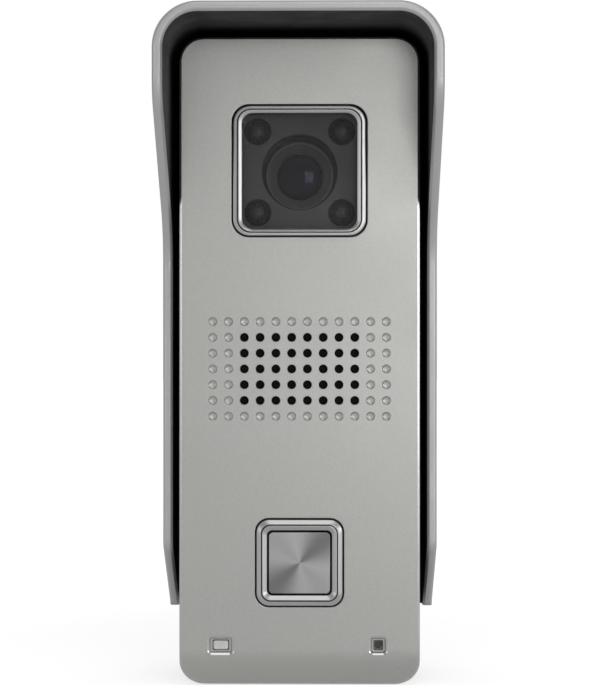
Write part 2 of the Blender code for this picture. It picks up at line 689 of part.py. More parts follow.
def speaker():
    centre = (0, SPEAKER_Z)
    mesh_sheet = rectangle(28.0 * MM, 18.0 * MM, 1.5 * MM, steps=2)
    mesh_back = FLANGE_FRONT + 0.3 * MM
    plate("speaker_mesh", [mesh_sheet], FLANGE_FRONT, mesh_back, ZINC_STEEL, centre)
    rim, opening = 15.0 * MM, 12.6 * MM
    gasket = [circle(rim, steps=36), circle(opening, steps=36)]
    gasket_front = mesh_back + GAP
    gasket_back = gasket_front + 1.0 * MM
    plate("speaker_gasket", gasket, gasket_front, gasket_back, RUBBER, centre)
    front = gasket_back + GAP
    step = front + 1.6 * MM
    back = MAGNET_FRONT + 1.2 * MM
    basket = [
        (opening, front), (rim, front), (rim, step), (10.5 * MM, back), (8.0 * MM, back),
        (8.0 * MM, MAGNET_FRONT - 0.4 * MM), (9.5 * MM, MAGNET_FRONT - 0.4 * MM), (opening, step),
    ]
    turned("speaker_frame", basket, BLACK_PLASTIC, centre, 36, hollow=True)
    thin = 0.35 * MM
    cone_rim = opening - GAP
    edge = front + 0.4 * MM
    dip = front + 1.2 * MM
    dome = front + 0.3 * MM
    skin = [(0, dome), (3.5 * MM, dip), (10.0 * MM, edge), (cone_rim, edge)]
    under = [(radius, depth + thin) for radius, depth in reversed(skin)]
    turned("speaker_cone", skin + under, FILM, centre, 36)
    magnet_radius = 7.6 * MM
    edge = 0.4 * MM
    profile = [
        (0, MAGNET_FRONT), (magnet_radius, MAGNET_FRONT), (magnet_radius, MAGNET_BACK - edge),
        (magnet_radius - edge, MAGNET_BACK), (0, MAGNET_BACK),
    ]
    turned("speaker_magnet", profile, MAGNET, centre, 32)


def speaker_clamp():
    """Sprung strap across the magnet that holds the speaker against the face plate."""
    centre = (0, SPEAKER_Z)
    strap = rectangle(41.2 * MM, 7.0 * MM, 2.0 * MM, steps=3)
    holes = [circle(1.3 * MM, (x, 0), 12) for x, _ in SPEAKER_SCREWS]
    back = CLAMP_FRONT + 0.8 * MM
    plate("speaker_clamp", [strap, *holes], CLAMP_FRONT, back, ZINC_STEEL, centre)
    for number, spot in enumerate(SPEAKER_SCREWS, 1):
        head = back + GAP + 1.2 * MM
        screw_piece(f"speaker_screw_{number}", spot, head, 1.9 * MM, 1.2 * MM, 1.0 * MM, 5.5 * MM)


# ---------------------------------------------------------------- main board


def main_board():
    """Narrow between the housing's pillars, wider below them."""
    half, foot_half = 16.0 * MM, 19.4 * MM
    top, shoulder, bottom = 19.0 * MM, -50.0 * MM, -59.4 * MM
    corners = [
        (-foot_half, bottom, 1.0 * MM), (foot_half, bottom, 1.0 * MM),
        (foot_half, shoulder, 1.0 * MM), (half, shoulder, 0.6 * MM),
        (half, top, 1.0 * MM), (-half, top, 1.0 * MM),
        (-half, shoulder, 0.6 * MM), (-foot_half, shoulder, 1.0 * MM),
    ]
    holes = [circle(1.3 * MM, spot, 12) for spot in BOARD_SCREWS]
    plate("main_board", [rounded(corners, 2), *holes], BOARD_FRONT, BOARD_BACK, CIRCUIT_BOARD)
    for number, spot in enumerate(BOARD_SCREWS, 1):
        head = BOARD_BACK + GAP + 1.3 * MM
        screw_piece(f"board_screw_{number}", spot, head, 1.9 * MM, 1.3 * MM, 1.0 * MM, 9.0 * MM)


def board_parts():
    rear = BOARD_BACK + GAP
    block = rectangle(24.0 * MM, 8.0 * MM, 0.4 * MM, steps=1)
    terminal = plate("terminal_block", [block], rear, 22.4 * MM, BLACK_PLASTIC, (0, 2.0 * MM))
    ways = [(way * 5.0 * MM, 3.0 * MM) for way in (-2, -1, 0, 1, 2)]
    cut(terminal, rods("clamp_screws", ways, 1.5 * MM, 20.4 * MM, 23.0 * MM))
    shield = rectangle(18.0 * MM, 13.0 * MM, 0.6 * MM, steps=2)
    plate("processor_shield", [shield], rear, rear + 2.4 * MM, ZINC_STEEL, (0, -41.0 * MM))


# ---------------------------------------------------------------- call button


def button_bezel():
    centre = (0, BUTTON_Z)
    back = FLANGE_FRONT + 1.0 * MM
    outer = rectangle(17.2 * MM, 17.2 * MM, 2.5 * MM)
    flange = rectangle(20.6 * MM, 20.6 * MM, 2.5 * MM)
    bezel = plate("button_bezel", [outer], -0.9 * MM, back, BRIGHT_TRIM, centre)
    soften(bezel, 0.3 * MM)
    fuse(bezel, plate("button_flange", [flange], FLANGE_FRONT, back - 0.1 * MM, centre=centre))
    opening = rectangle(12.9 * MM, 12.9 * MM, 1.1 * MM)
    cut(bezel, plate("cap_opening", [opening], -2 * MM, back + MM, centre=centre))
    groove = [rectangle(15.0 * MM, 15.0 * MM, 1.7 * MM), rectangle(14.4 * MM, 14.4 * MM, 1.5 * MM)]
    cut(bezel, plate("bezel_groove", groove, -2 * MM, -0.6 * MM, centre=centre))


def button_cap():
    centre = (0, BUTTON_Z)
    face = rectangle(12.25 * MM, 12.25 * MM, 0.8 * MM)
    cap = plate("button_cap", [face], -0.6 * MM, CAP_BACK, SPUN_METAL, centre)
    soften(cap, 0.25 * MM)


def button_carrier():
    """Plastic plunger behind the cap: its flange stops against the bezel's back."""
    centre = (0, BUTTON_Z)
    body = rectangle(11.6 * MM, 11.6 * MM, 0.8 * MM)
    flange = rectangle(14.6 * MM, 14.6 * MM, 1.4 * MM)
    front = CAP_BACK + GAP
    carrier = plate("button_carrier", [body], front, CARRIER_BACK - 0.2 * MM, BLACK_PLASTIC, centre)
    fuse(carrier, plate("carrier_flange", [flange], CARRIER_FRONT, CARRIER_BACK, centre=centre))
    fuse(carrier, rods("carrier_stem", [centre], 2.0 * MM, CARRIER_FRONT + MM / 2, STEM_BACK, 20))


def button_guide():
    """Square sleeve on the bezel's back that the carrier slides in."""
    centre = (0, BUTTON_Z)
    outer = rectangle(20.0 * MM, 20.0 * MM, 2.2 * MM)
    bore = rectangle(15.3 * MM, 15.3 * MM, 1.6 * MM)
    back = GUIDE_FLOOR + 1.4 * MM
    guide = plate("button_guide", [outer], CARRIER_FRONT, back, BLACK_PLASTIC, centre)
    cut(guide, plate("guide_bore", [bore], CARRIER_FRONT - MM, GUIDE_FLOOR, centre=centre))
    cut(guide, rods("stem_hole", [centre], 2.35 * MM, GUIDE_FLOOR - MM, back + MM, 20))


def return_spring():
    """Coil between the carrier's flange and the guide's floor."""
    start = CARRIER_BACK + GAP
    end = GUIDE_FLOOR - GAP
    wire, coil, turns, around, sides = 0.3 * MM, 3.3 * MM, 3, 18, 6
    first, last = start + wire, end - wire
    shape = bmesh.new()
    rings = []
    count = turns * around
    for i in range(count + 1):
        angle = TAU * i / around
        depth = first + (last - first) * i / count
        out = Vector((math.cos(angle), 0, math.sin(angle)))
        ring = []
        for k in range(sides):
            lean = TAU * k / sides
            spot = out * (coil + wire * math.cos(lean))
            spot.y = depth + wire * math.sin(lean)
            ring.append(shape.verts.new(spot))
        rings.append(ring)
    for near, far in zip(rings, rings[1:]):
        for k in range(sides):
            nxt = (k + 1) % sides
            shape.faces.new((near[k], near[nxt], far[nxt], far[k]))
    shape.faces.new(rings[0][::-1])
    shape.faces.new(rings[-1])
    bmesh.ops.recalc_face_normals(shape, faces=shape.faces)
    mesh = bpy.data.meshes.new("button_return_spring")
    shape.to_mesh(mesh)
    shape.free()
    place("button_return_spring", mesh, (0, y_of(0), BUTTON_Z), COPPER)


def push_switch():
    """Long-stroke switch on the main board under the carrier's stem."""
    centre = (0, BUTTON_Z)
    rear = BOARD_FRONT - GAP
    body = rectangle(7.4 * MM, 7.4 * MM, 0.5 * MM, steps=2)
    switch = plate("switch_body", [body], SWITCH_FRONT, rear, BLACK_PLASTIC, centre)
    cut(switch, rods("plunger_bore", [centre], 2.1 * MM, SWITCH_FRONT - MM, rear - 0.3 * MM, 20))
    front = STEM_BACK + GAP
    back = SWITCH_FRONT + 1.0 * MM
    edge = 0.2 * MM
    radius = 1.75 * MM
    profile = [(0, front), (radius - edge, front), (radius, front + edge), (radius, back), (0, back)]
    turned("switch_plunger", profile, CLEAR_PLASTIC, centre, 20)


# ---------------------------------------------------------------- light and microphone


def indicator():
    spot = (-POCKET_X, POCKET_Z)
    head = rectangle(2.8 * MM, 1.6 * MM, 0.3 * MM, steps=2)
    head_front = 0.65 * MM
    head_back = FLANGE_FRONT + 0.6 * MM
    end = BOARD_FRONT - GAP - 1.4 * MM - GAP
    pipe = plate("indicator_light_pipe", [head], head_front, head_back, CLEAR_PLASTIC, spot)
    fuse(pipe, rods("pipe_stem", [spot], 1.5 * MM, FLANGE_FRONT, end, 16))
    body = rectangle(3.4 * MM, 2.8 * MM, 0.3 * MM, steps=1)
    plate("indicator_led", [body], end + GAP, BOARD_FRONT - GAP, CLEAR_PLASTIC, spot)


def microphone():
    spot = (POCKET_X, POCKET_Z)
    front = FLANGE_FRONT
    capsule_front = front + 1.2 * MM
    capsule_back = capsule_front + 2.2 * MM
    radius, wall = 2.0 * MM, 0.8 * MM
    bore = radius + GAP
    lip = capsule_front - GAP
    boot = [
        (0.8 * MM, front), (bore + wall, front), (bore + wall, capsule_back), (bore, capsule_back),
        (bore, lip), (0.8 * MM, lip),
    ]
    turned("microphone_boot", boot, RUBBER, spot, hollow=True)
    capsule = [(0, capsule_front), (radius, capsule_front), (radius, capsule_back), (0, capsule_back)]
    turned("microphone_capsule", capsule, ZINC_STEEL, spot)


rain_hood()
mounting_bracket()
bracket_screws()
security_screw()
rear_housing()
housing_screws()
cable_grommet()
housing_gasket()
face_plate()
camera_bezel()
camera_window()
camera_mask()
infrared_lamps()
lens()
camera_board()
speaker()
speaker_clamp()
main_board()
board_parts()
button_bezel()
button_cap()
button_carrier()
button_guide()
return_spring()
push_switch()
indicator()
microphone()
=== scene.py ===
"""Looks for a video door station in a rain hood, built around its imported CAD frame.

Sizes below are in millimetres, unless a comment says otherwise. A depth is counted from the face
plate's front towards the wall. An inset is counted from an outline inwards.
"""

import math

import bmesh
import bpy
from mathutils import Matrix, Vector, geometry


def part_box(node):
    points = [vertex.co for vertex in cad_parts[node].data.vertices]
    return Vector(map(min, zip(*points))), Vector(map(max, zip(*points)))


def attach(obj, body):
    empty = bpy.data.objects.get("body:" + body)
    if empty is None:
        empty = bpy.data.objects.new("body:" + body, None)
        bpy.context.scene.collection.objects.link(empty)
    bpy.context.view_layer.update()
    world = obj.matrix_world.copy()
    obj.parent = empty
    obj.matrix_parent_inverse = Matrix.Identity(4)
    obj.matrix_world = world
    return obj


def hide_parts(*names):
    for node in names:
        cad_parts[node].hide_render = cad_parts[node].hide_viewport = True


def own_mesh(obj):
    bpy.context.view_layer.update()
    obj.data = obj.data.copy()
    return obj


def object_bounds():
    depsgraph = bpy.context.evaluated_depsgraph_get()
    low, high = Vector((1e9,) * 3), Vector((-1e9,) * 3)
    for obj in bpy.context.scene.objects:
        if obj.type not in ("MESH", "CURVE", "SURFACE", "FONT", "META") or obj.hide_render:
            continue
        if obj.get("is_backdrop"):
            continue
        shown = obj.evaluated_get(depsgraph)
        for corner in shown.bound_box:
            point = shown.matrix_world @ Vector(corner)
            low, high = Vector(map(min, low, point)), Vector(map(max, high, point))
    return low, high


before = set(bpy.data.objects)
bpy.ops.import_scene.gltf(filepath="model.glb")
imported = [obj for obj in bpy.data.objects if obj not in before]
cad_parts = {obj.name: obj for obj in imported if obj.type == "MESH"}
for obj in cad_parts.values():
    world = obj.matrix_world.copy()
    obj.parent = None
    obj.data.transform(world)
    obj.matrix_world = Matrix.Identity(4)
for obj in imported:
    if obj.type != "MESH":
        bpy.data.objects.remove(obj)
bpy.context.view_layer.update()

MM = 0.001
TAU = 2 * math.pi
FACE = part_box("face_plate")[0][1]
BODY = "station"
BUTTON = "call_button"
FLAT = 0.99999  # a face whose normal is this close to the Y axis is shaded flat


def middle(node):
    """The X and Z of a CAD node's centre, in mm."""
    low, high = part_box(node)
    return ((low[0] + high[0]) / 2 / MM, (low[2] + high[2]) / 2 / MM)


CAMERA = middle("camera_bezel")
LENS = middle("lens_barrel")
SPEAKER = middle("speaker_frame")
CALL = middle("button_cap")
LIGHT = middle("indicator_light_pipe")
VOICE = middle("microphone_capsule")
LAMPS = [middle(f"ir_led_{number}") for number in (1, 2, 3, 4)]


# ---------------------------------------------------------------- materials


class Paint:
    """A node material under construction."""

    def __init__(self, name, **values):
        self.material = bpy.data.materials.new(name)
        self.material.use_nodes = True
        self.tree = self.material.node_tree
        self.shader = self.tree.nodes["Principled BSDF"]
        self.place = self.add("ShaderNodeTexCoord").outputs["Object"]
        for key, value in values.items():
            self.set(key.replace("_", " "), value)

    def add(self, kind, inputs=(), **settings):
        node = self.tree.nodes.new(kind)
        for key, value in settings.items():
            setattr(node, key, value)
        for key, value in dict(inputs).items():
            self.feed(node.inputs[key], value)
        return node

    def feed(self, socket, value):
        if isinstance(value, bpy.types.NodeSocket):
            self.tree.links.new(value, socket)
        elif isinstance(value, tuple) and len(value) == 3 and socket.type == "RGBA":
            socket.default_value = (*value, 1.0)
        else:
            socket.default_value = value

    def set(self, name, value):
        if name == "Base Color" and isinstance(value, float):
            value = (value, value, value)
        self.feed(self.shader.inputs[name], value)

    def vector(self, operation, a, key, b):
        """A vector operation on a and on b, which goes into the input named by key."""
        return self.add("ShaderNodeVectorMath", {0: a, key: b}, operation=operation)

    def noise(self, size, detail=2.0, stretch=None):
        """Noise whose lumps are about size mm."""
        place = self.place
        if stretch:
            place = self.vector("MULTIPLY", place, 1, stretch).outputs[0]
        inputs = {"Vector": place, "Scale": 0.5 / (size * MM), "Detail": detail}
        return self.add("ShaderNodeTexNoise", inputs).outputs["Fac"]

    def cells(self, size, feature="F1"):
        """Distance to the nearest point of a scatter about size mm apart."""
        inputs = {"Vector": self.place, "Scale": 1 / (size * MM)}
        return self.add("ShaderNodeTexVoronoi", inputs, feature=feature).outputs["Distance"]

    def span(self, value, low, high, start=0.3, end=0.7):
        """A value that runs from start to end, spread over low to high."""
        inputs = {"Value": value, "From Min": start, "From Max": end, "To Min": low, "To Max": high}
        return self.add("ShaderNodeMapRange", inputs).outputs["Result"]

    def math(self, operation, a, b=0.0):
        return self.add("ShaderNodeMath", {0: a, 1: b}, operation=operation).outputs[0]

    def blend(self, share, a, b):
        mix = self.add("ShaderNodeMix", data_type="RGBA")
        self.feed(mix.inputs["Factor"], share)
        self.feed(mix.inputs[6], a)
        self.feed(mix.inputs[7], b)
        return mix.outputs[2]

    def grey(self, share, dark, light):
        return self.blend(share, (dark, dark, dark), (light, light, light))

    def relief(self, height, depth, strength):
        """Adds bumps of up to depth mm."""
        inputs = {"Height": height, "Strength": strength, "Distance": depth * MM}
        bump = self.add("ShaderNodeBump", inputs)
        socket = self.shader.inputs["Normal"]
        if socket.links:
            self.feed(bump.inputs["Normal"], socket.links[0].from_socket)
        self.feed(socket, bump.outputs["Normal"])


def satin_aluminium():
    """Bead-blasted and anodised: fine even grain, faint broad clouds, a trace warmer than grey."""
    tone, rough, warmth = 0.62, 0.4, 0.965
    paint = Paint("satin_aluminium", Metallic=1.0)
    grain = paint.noise(0.13, 3.0)
    clouds = paint.noise(26.0, 3.0)
    dark, light = ((value, value, value * warmth) for value in (tone * 0.97, tone * 1.02))
    colour = paint.blend(paint.span(clouds, 0.0, 1.0), dark, light)
    speckle = paint.span(grain, 0.94, 1.05, 0.25, 0.75)
    paint.set("Base Color", paint.vector("SCALE", colour, "Scale", speckle).outputs[0])
    paint.set("Roughness", paint.span(paint.noise(9.0, 2.0), rough - 0.03, rough + 0.04))
    paint.relief(grain, 0.006, 0.3)
    return paint.material


def silver_paint():
    """Metallic lacquer: small flakes under a soft clear coat with a faint orange peel."""
    paint = Paint("silver_lacquer", Metallic=0.6, Coat_Weight=0.2, Coat_Roughness=0.25)
    flakes = paint.cells(0.16)
    clouds = paint.noise(30.0, 2.0)
    base = paint.grey(paint.span(clouds, 0.0, 1.0), 0.64, 0.67)
    sparkle = paint.span(flakes, 1.06, 0.95, 0.1, 0.6)
    paint.set("Base Color", paint.vector("SCALE", base, "Scale", sparkle).outputs[0])
    paint.set("Roughness", paint.span(paint.noise(4.0, 3.0), 0.36, 0.46))
    paint.relief(paint.noise(0.9, 2.0), 0.012, 0.35)
    return paint.material


def moulded(name, tone, rough, grain, tint=(1.0, 1.0, 1.04)):
    """Moulded plastic or rubber with a fine spark-eroded grain, grain mm apart."""
    paint = Paint(name)
    pores = paint.cells(grain, "SMOOTH_F1")
    soft = paint.noise(7.0, 4.0)
    dark = tuple(tone * 0.86 * channel for channel in tint)
    light = tuple(tone * 1.12 * channel for channel in tint)
    paint.set("Base Color", paint.blend(paint.span(soft, 0.0, 1.0), dark, light))
    paint.set("Roughness", paint.span(paint.noise(2.5, 3.0), rough - 0.05, rough + 0.06))
    paint.relief(pores, 0.015, 0.4)
    return paint.material


def trim_metal(name, tone, rough):
    """Smooth bright metal with hairline polishing marks along Z."""
    paint = Paint(name, Metallic=1.0)
    marks = paint.noise(0.16, 2.0, (1.0, 1.0, 0.05))
    paint.set("Base Color", paint.grey(paint.span(marks, 0.0, 1.0), tone * 0.97, tone * 1.02))
    paint.set("Roughness", paint.span(marks, rough - 0.02, rough + 0.03))
    paint.relief(marks, 0.0006, 0.2)
    return paint.material


def spun_metal():
    """Lathe-turned face: fine rings round the button's middle, and a fan of painted highlight rays.
    """
    paint = Paint("spun_metal", Metallic=1.0, Anisotropic=0.45)
    centre = (CALL[0] * MM, 0.0, CALL[1] * MM)
    offset = paint.vector("SUBTRACT", paint.place, 1, centre).outputs[0]
    split = paint.add("ShaderNodeSeparateXYZ", {0: offset})
    across, up = split.outputs["X"], split.outputs["Z"]
    angle = paint.math("ARCTAN2", up, across)
    squares = [paint.math("MULTIPLY", value, value) for value in (across, up)]
    radius = paint.math("SQRT", paint.math("ADD", *squares))
    paint.place = paint.add("ShaderNodeCombineXYZ", {"X": radius}).outputs[0]
    rings = paint.noise(0.06, 3.0)

    def painted_sheen_wave(share, rays_per_turn, phase):
        swing = paint.math("ADD", paint.math("MULTIPLY", angle, rays_per_turn), phase)
        return paint.math("MULTIPLY", paint.math("COSINE", swing), share)

    # Painted highlight and shade: bright and dark rays painted into the base colour, standing in
    # for the turned finish's reflection lobes.
    fan = paint.math("ADD", painted_sheen_wave(0.55, 4.0, 0.1), painted_sheen_wave(0.45, 2.0, math.pi - 1.4))
    tone = paint.span(fan, 0.0, 1.0, -0.95, 0.6)
    rays = paint.grey(tone, 0.30, 0.56)
    lines = paint.span(rings, 0.93, 1.06)
    paint.set("Base Color", paint.vector("SCALE", rays, "Scale", lines).outputs[0])
    paint.set("Roughness", paint.span(rings, 0.27, 0.36))
    tangent = paint.add("ShaderNodeTangent", direction_type="RADIAL", axis="Y")
    paint.feed(paint.shader.inputs["Tangent"], tangent.outputs[0])
    paint.relief(rings, 0.003, 0.5)
    return paint.material


def plated_steel():
    """Zinc plate: faint spangles under fine streaks."""
    paint = Paint("zinc_plate", Metallic=1.0)
    streaks = paint.noise(0.5, 3.0, (1.0, 1.0, 0.12))
    spangle = paint.cells(2.4)
    colour = paint.blend(paint.span(spangle, 0.0, 1.0), (0.52, 0.53, 0.52), (0.66, 0.67, 0.64))
    paint.set("Base Color", colour)
    paint.set("Roughness", paint.span(streaks, 0.3, 0.46))
    paint.relief(streaks, 0.006, 0.3)
    return paint.material


def circuit_board(name, mask, tracks):
    """Solder mask over a faint maze of tracks."""
    paint = Paint(name, Coat_Weight=0.3)
    lines = paint.span(paint.cells(1.8), 0.0, 1.0, 0.28, 0.34)
    paint.set("Base Color", paint.blend(lines, mask, tracks))
    paint.set("Roughness", paint.span(paint.noise(1.2, 2.0), 0.3, 0.42))
    paint.relief(lines, 0.03, 0.4)
    return paint.material


def woven_wire():
    """Black fine-mesh cloth of wire."""
    paint = Paint("woven_wire", Metallic=0.7, Roughness=0.5)
    split = paint.add("ShaderNodeSeparateXYZ", {0: paint.place})
    turns = TAU / (0.34 * MM)
    warp = paint.math("SINE", paint.math("MULTIPLY", split.outputs["X"], turns))
    weft = paint.math("SINE", paint.math("MULTIPLY", split.outputs["Z"], turns))
    knots = paint.math("MULTIPLY", warp, weft)
    paint.set("Base Color", paint.grey(paint.span(knots, 0.0, 1.0, -1.0, 1.0), 0.004, 0.03))
    paint.relief(knots, 0.05, 0.8)
    return paint.material


def lens_glass():
    """Coated dark glass: faint violet reflections and a trace of dust."""
    clean, dusty, rough = (0.006, 0.006, 0.012), (0.011, 0.011, 0.02), 0.02
    paint = Paint("lens_glass", IOR=1.45, Specular_IOR_Level=0.3)
    dust = paint.noise(2.2, 2.0)
    paint.set("Base Color", paint.blend(paint.span(dust, 0.0, 1.0, 0.5, 0.75), clean, dusty))
    paint.set("Specular Tint", (0.72, 0.68, 1.0))
    paint.set("Roughness", paint.span(dust, rough, rough + 0.015, 0.45, 0.75))
    return paint.material


def lamp_resin():
    """Almost black resin of an infrared lamp, with a faint swirl."""
    paint = Paint("lamp_resin", IOR=1.5, Coat_Weight=0.3)
    swirl = paint.noise(1.1, 3.0)
    dark, light = (0.016, 0.016, 0.02), (0.034, 0.033, 0.04)
    paint.set("Base Color", paint.blend(paint.span(swirl, 0.0, 1.0), dark, light))
    paint.set("Roughness", paint.span(swirl, 0.22, 0.34))
    return paint.material


def smoked_window():
    """Clear hard-coated sheet: mostly see-through, with a weak mirror and faint smears."""
    paint = Paint("camera_window")
    smear = paint.span(paint.noise(9.0, 4.0), 0.83, 0.9)
    tint = paint.add("ShaderNodeCombineColor", {0: smear, 1: smear, 2: smear})
    through = paint.add("ShaderNodeBsdfTransparent", {"Color": tint.outputs[0]})
    rough = paint.span(paint.noise(5.0, 3.0), 0.015, 0.035)
    mirror = paint.add("ShaderNodeBsdfGlossy", {"Roughness": rough})
    share = paint.add("ShaderNodeFresnel", {"IOR": 1.24})
    haze = paint.add("ShaderNodeBsdfDiffuse", {"Color": (0.8, 0.8, 0.82, 1.0)})
    veil = paint.span(paint.noise(14.0, 3.0), 0.022, 0.034)
    sheet = paint.add("ShaderNodeMixShader", {0: veil, 1: through.outputs[0], 2: haze.outputs[0]})
    parts = {0: share.outputs[0], 1: sheet.outputs[0], 2: mirror.outputs[0]}
    mix = paint.add("ShaderNodeMixShader", parts)
    paint.feed(paint.tree.nodes["Material Output"].inputs["Surface"], mix.outputs[0])
    return paint.material


def milky_plastic():
    """Translucent white plastic with soft clouds."""
    paint = Paint("milky_plastic", IOR=1.49, Subsurface_Weight=0.2, Subsurface_Scale=0.001)
    cloud = paint.noise(1.4, 4.0)
    colour = paint.blend(paint.span(cloud, 0.0, 1.0), (0.74, 0.75, 0.73), (0.9, 0.9, 0.88))
    paint.set("Base Color", colour)
    paint.set("Roughness", paint.span(cloud, 0.18, 0.3))
    paint.relief(cloud, 0.02, 0.3)
    return paint.material


SATIN = satin_aluminium()
CUT_EDGE = trim_metal("cut_edge", 0.7, 0.22)
SILVER = silver_paint()
BLACK_INSIDE = moulded("black_inside", 0.012, 0.6, 0.5)
BLACK = moulded("black_plastic", 0.02, 0.5, 0.35)
MASK = moulded("mask_plastic", 0.125, 0.6, 0.3)
BARREL = moulded("barrel_plastic", 0.085, 0.45, 0.25)
RUBBER = moulded("rubber", 0.02, 0.8, 0.25, (1.0, 1.0, 1.0))
GREY_RUBBER = moulded("grey_rubber", 0.3, 0.75, 0.25, (1.0, 1.0, 1.0))
TRIM = trim_metal("bright_trim", 0.62, 0.33)
SPUN = spun_metal()
STEEL = plated_steel()
GREEN = circuit_board("circuit_board", (0.012, 0.11, 0.045), (0.02, 0.17, 0.07))
DARK_BOARD = circuit_board("dark_circuit_board", (0.005, 0.005, 0.006), (0.01, 0.01, 0.012))
WIRE = woven_wire()
GLASS = lens_glass()
RESIN = lamp_resin()
WINDOW = smoked_window()
MILKY = milky_plastic()
MAGNET = moulded("magnet", 0.06, 0.4, 0.8, (1.0, 0.98, 0.95))
FILM = moulded("cone_film", 0.1, 0.35, 0.6, (1.0, 0.95, 0.85))


# ---------------------------------------------------------------- mesh tools


SHARP = 38.0  # degrees


def arc_points(x, z, radius, quarter, steps):
    """A quarter circle about (x, z), as (x, z) points. Quarter 0 runs from +X to +Z."""
    angles = [math.pi / 2 * (quarter + k / steps) for k in range(steps + 1)]
    return [(x + radius * math.cos(a), z + radius * math.sin(a)) for a in angles]


def rounded(width, height, radius, centre=(0.0, 0.0), arc=10):
    """A rounded rectangle's outline as (x, z) points, counter-clockwise from its lower left."""
    x, z = width / 2 - radius, height / 2 - radius
    points = []
    for quarter, (u, v) in enumerate(((-x, -z), (x, -z), (x, z), (-x, z)), 2):
        points += arc_points(centre[0] + u, centre[1] + v, radius, quarter, arc)
    return points


def circle(radius, centre=(0.0, 0.0), steps=24):
    angles = [TAU * k / steps for k in range(steps)]
    return [(centre[0] + radius * math.cos(a), centre[1] + radius * math.sin(a)) for a in angles]


def at(x, z, depth):
    """The point in the frame, in metres."""
    return Vector((x * MM, FACE + depth * MM, z * MM))


def link(obj):
    bpy.context.scene.collection.objects.link(obj)
    return obj


def dress(obj, body, stands_for):
    """Attaches a new piece to the body it moves with, and hides the CAD nodes it stands for."""
    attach(obj, body)
    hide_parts(*stands_for)


class Shell:
    """A mesh made ring by ring."""

    def __init__(self):
        self.bm = bmesh.new()

    def ring(self, outline, depth):
        return [self.bm.verts.new(at(x, z, depth)) for x, z in outline]

    def join(self, near, far, paint=0, closed=True):
        """A band of faces between two rings, or between two open rows."""
        count = len(near)
        for i in range(count if closed else count - 1):
            j = (i + 1) % count
            face = self.bm.faces.new((near[i], near[j], far[j], far[i]))
            face.material_index = paint

    def chain(self, rings, loop=False, second=()):
        """Joins each ring to the next. The steps numbered in second take the second paint."""
        following = rings[1:] + rings[:1] if loop else rings[1:]
        for step, (near, far) in enumerate(zip(rings, following)):
            self.join(near, far, int(step in second))

    def cap(self, ring):
        self.bm.faces.new(ring)

    def close(self, rings):
        """Joins the rings in a row and caps both ends."""
        self.chain(rings)
        self.cap(rings[0])
        self.cap(rings[-1])

    def cone(self, ring, tip):
        """Closes a ring with a fan to one point."""
        point = self.bm.verts.new(tip)
        for i, here in enumerate(ring):
            self.bm.faces.new((here, ring[(i + 1) % len(ring)], point))

    def plate_rings(self, size, corner, profile, centre=(0.0, 0.0), arc=12):
        """Rings of a rounded rectangle. A profile point is (inset, depth)."""
        rings = []
        for inset, depth in profile:
            outline = rounded(size[0] - 2 * inset, size[1] - 2 * inset, corner - inset, centre, arc)
            rings.append(self.ring(outline, depth))
        return rings

    def fill(self, outer, holes=(), extra=(), paint=0):
        """Fills a flat region between an outer ring and convex hole rings, through extra points."""
        rings = [outer, *holes]
        verts = [vert for ring in rings for vert in ring]
        owner = [number for number, ring in enumerate(rings) for vert in ring] + [-1] * len(extra)
        verts += [self.bm.verts.new(point) for point in extra]
        flat = [Vector((vert.co.x / MM, vert.co.z / MM)) for vert in verts]
        edges, start = [], 0
        for ring in rings:
            count = len(ring)
            edges += [(start + i, start + (i + 1) % count) for i in range(count)]
            start += count
        for ring in rings:
            for i, vert in enumerate(ring):
                edge = self.bm.edges.get((vert, ring[(i + 1) % len(ring)]))
                if edge:
                    edge.smooth = False
        made = geometry.delaunay_2d_cdt(flat, edges, [], 1, 1e-5)
        source = [ids[0] for ids in made[3]]
        for face in made[2]:
            owners = {owner[source[i]] for i in face}
            if len(owners) > 1 or owners <= {0, -1}:
                self.bm.faces.new([verts[source[i]] for i in face]).material_index = paint

    def build(self, name, paints, sharp=SHARP):
        """Makes the object, with edges bent by more than sharp degrees left sharp."""
        bm = self.bm
        loose = [vert for vert in bm.verts if not vert.link_faces]
        bmesh.ops.delete(bm, geom=loose, context="VERTS")
        bmesh.ops.recalc_face_normals(bm, faces=bm.faces)
        limit = math.radians(sharp)
        for face in bm.faces:
            face.smooth = abs(face.normal.y) < FLAT
        for edge in bm.edges:
            if edge.calc_face_angle(0.0) > limit:
                edge.smooth = False
        mesh = bpy.data.meshes.new(name)
        bm.to_mesh(mesh)
        bm.free()
        for paint in paints:
            mesh.materials.append(paint)
        obj = link(bpy.data.objects.new(name, mesh))
        even = obj.modifiers.new("even_shading", "WEIGHTED_NORMAL")
        even.keep_sharp = True
        return obj


def combine(obj, other, operation):
    """Adds the other mesh to obj, or takes it away, for good."""
    modifier = obj.modifiers.new("combine", "BOOLEAN")
    modifier.operation = operation
    modifier.object = other
    modifier.solver = "EXACT"
    obj.modifiers.move(len(obj.modifiers) - 1, 0)
    even = obj.modifiers.get("even_shading")
    even.show_viewport = False
    graph = bpy.context.evaluated_depsgraph_get()
    mesh = bpy.data.meshes.new_from_object(obj.evaluated_get(graph))
    even.show_viewport = True
    obj.modifiers.remove(modifier)
    old, obj.data = obj.data, mesh
    bpy.data.meshes.remove(old)
    bpy.data.objects.remove(other)
    mesh.set_sharp_from_angle(angle=math.radians(SHARP))
    for face in mesh.polygons:
        face.use_smooth = abs(face.normal.y) < FLAT


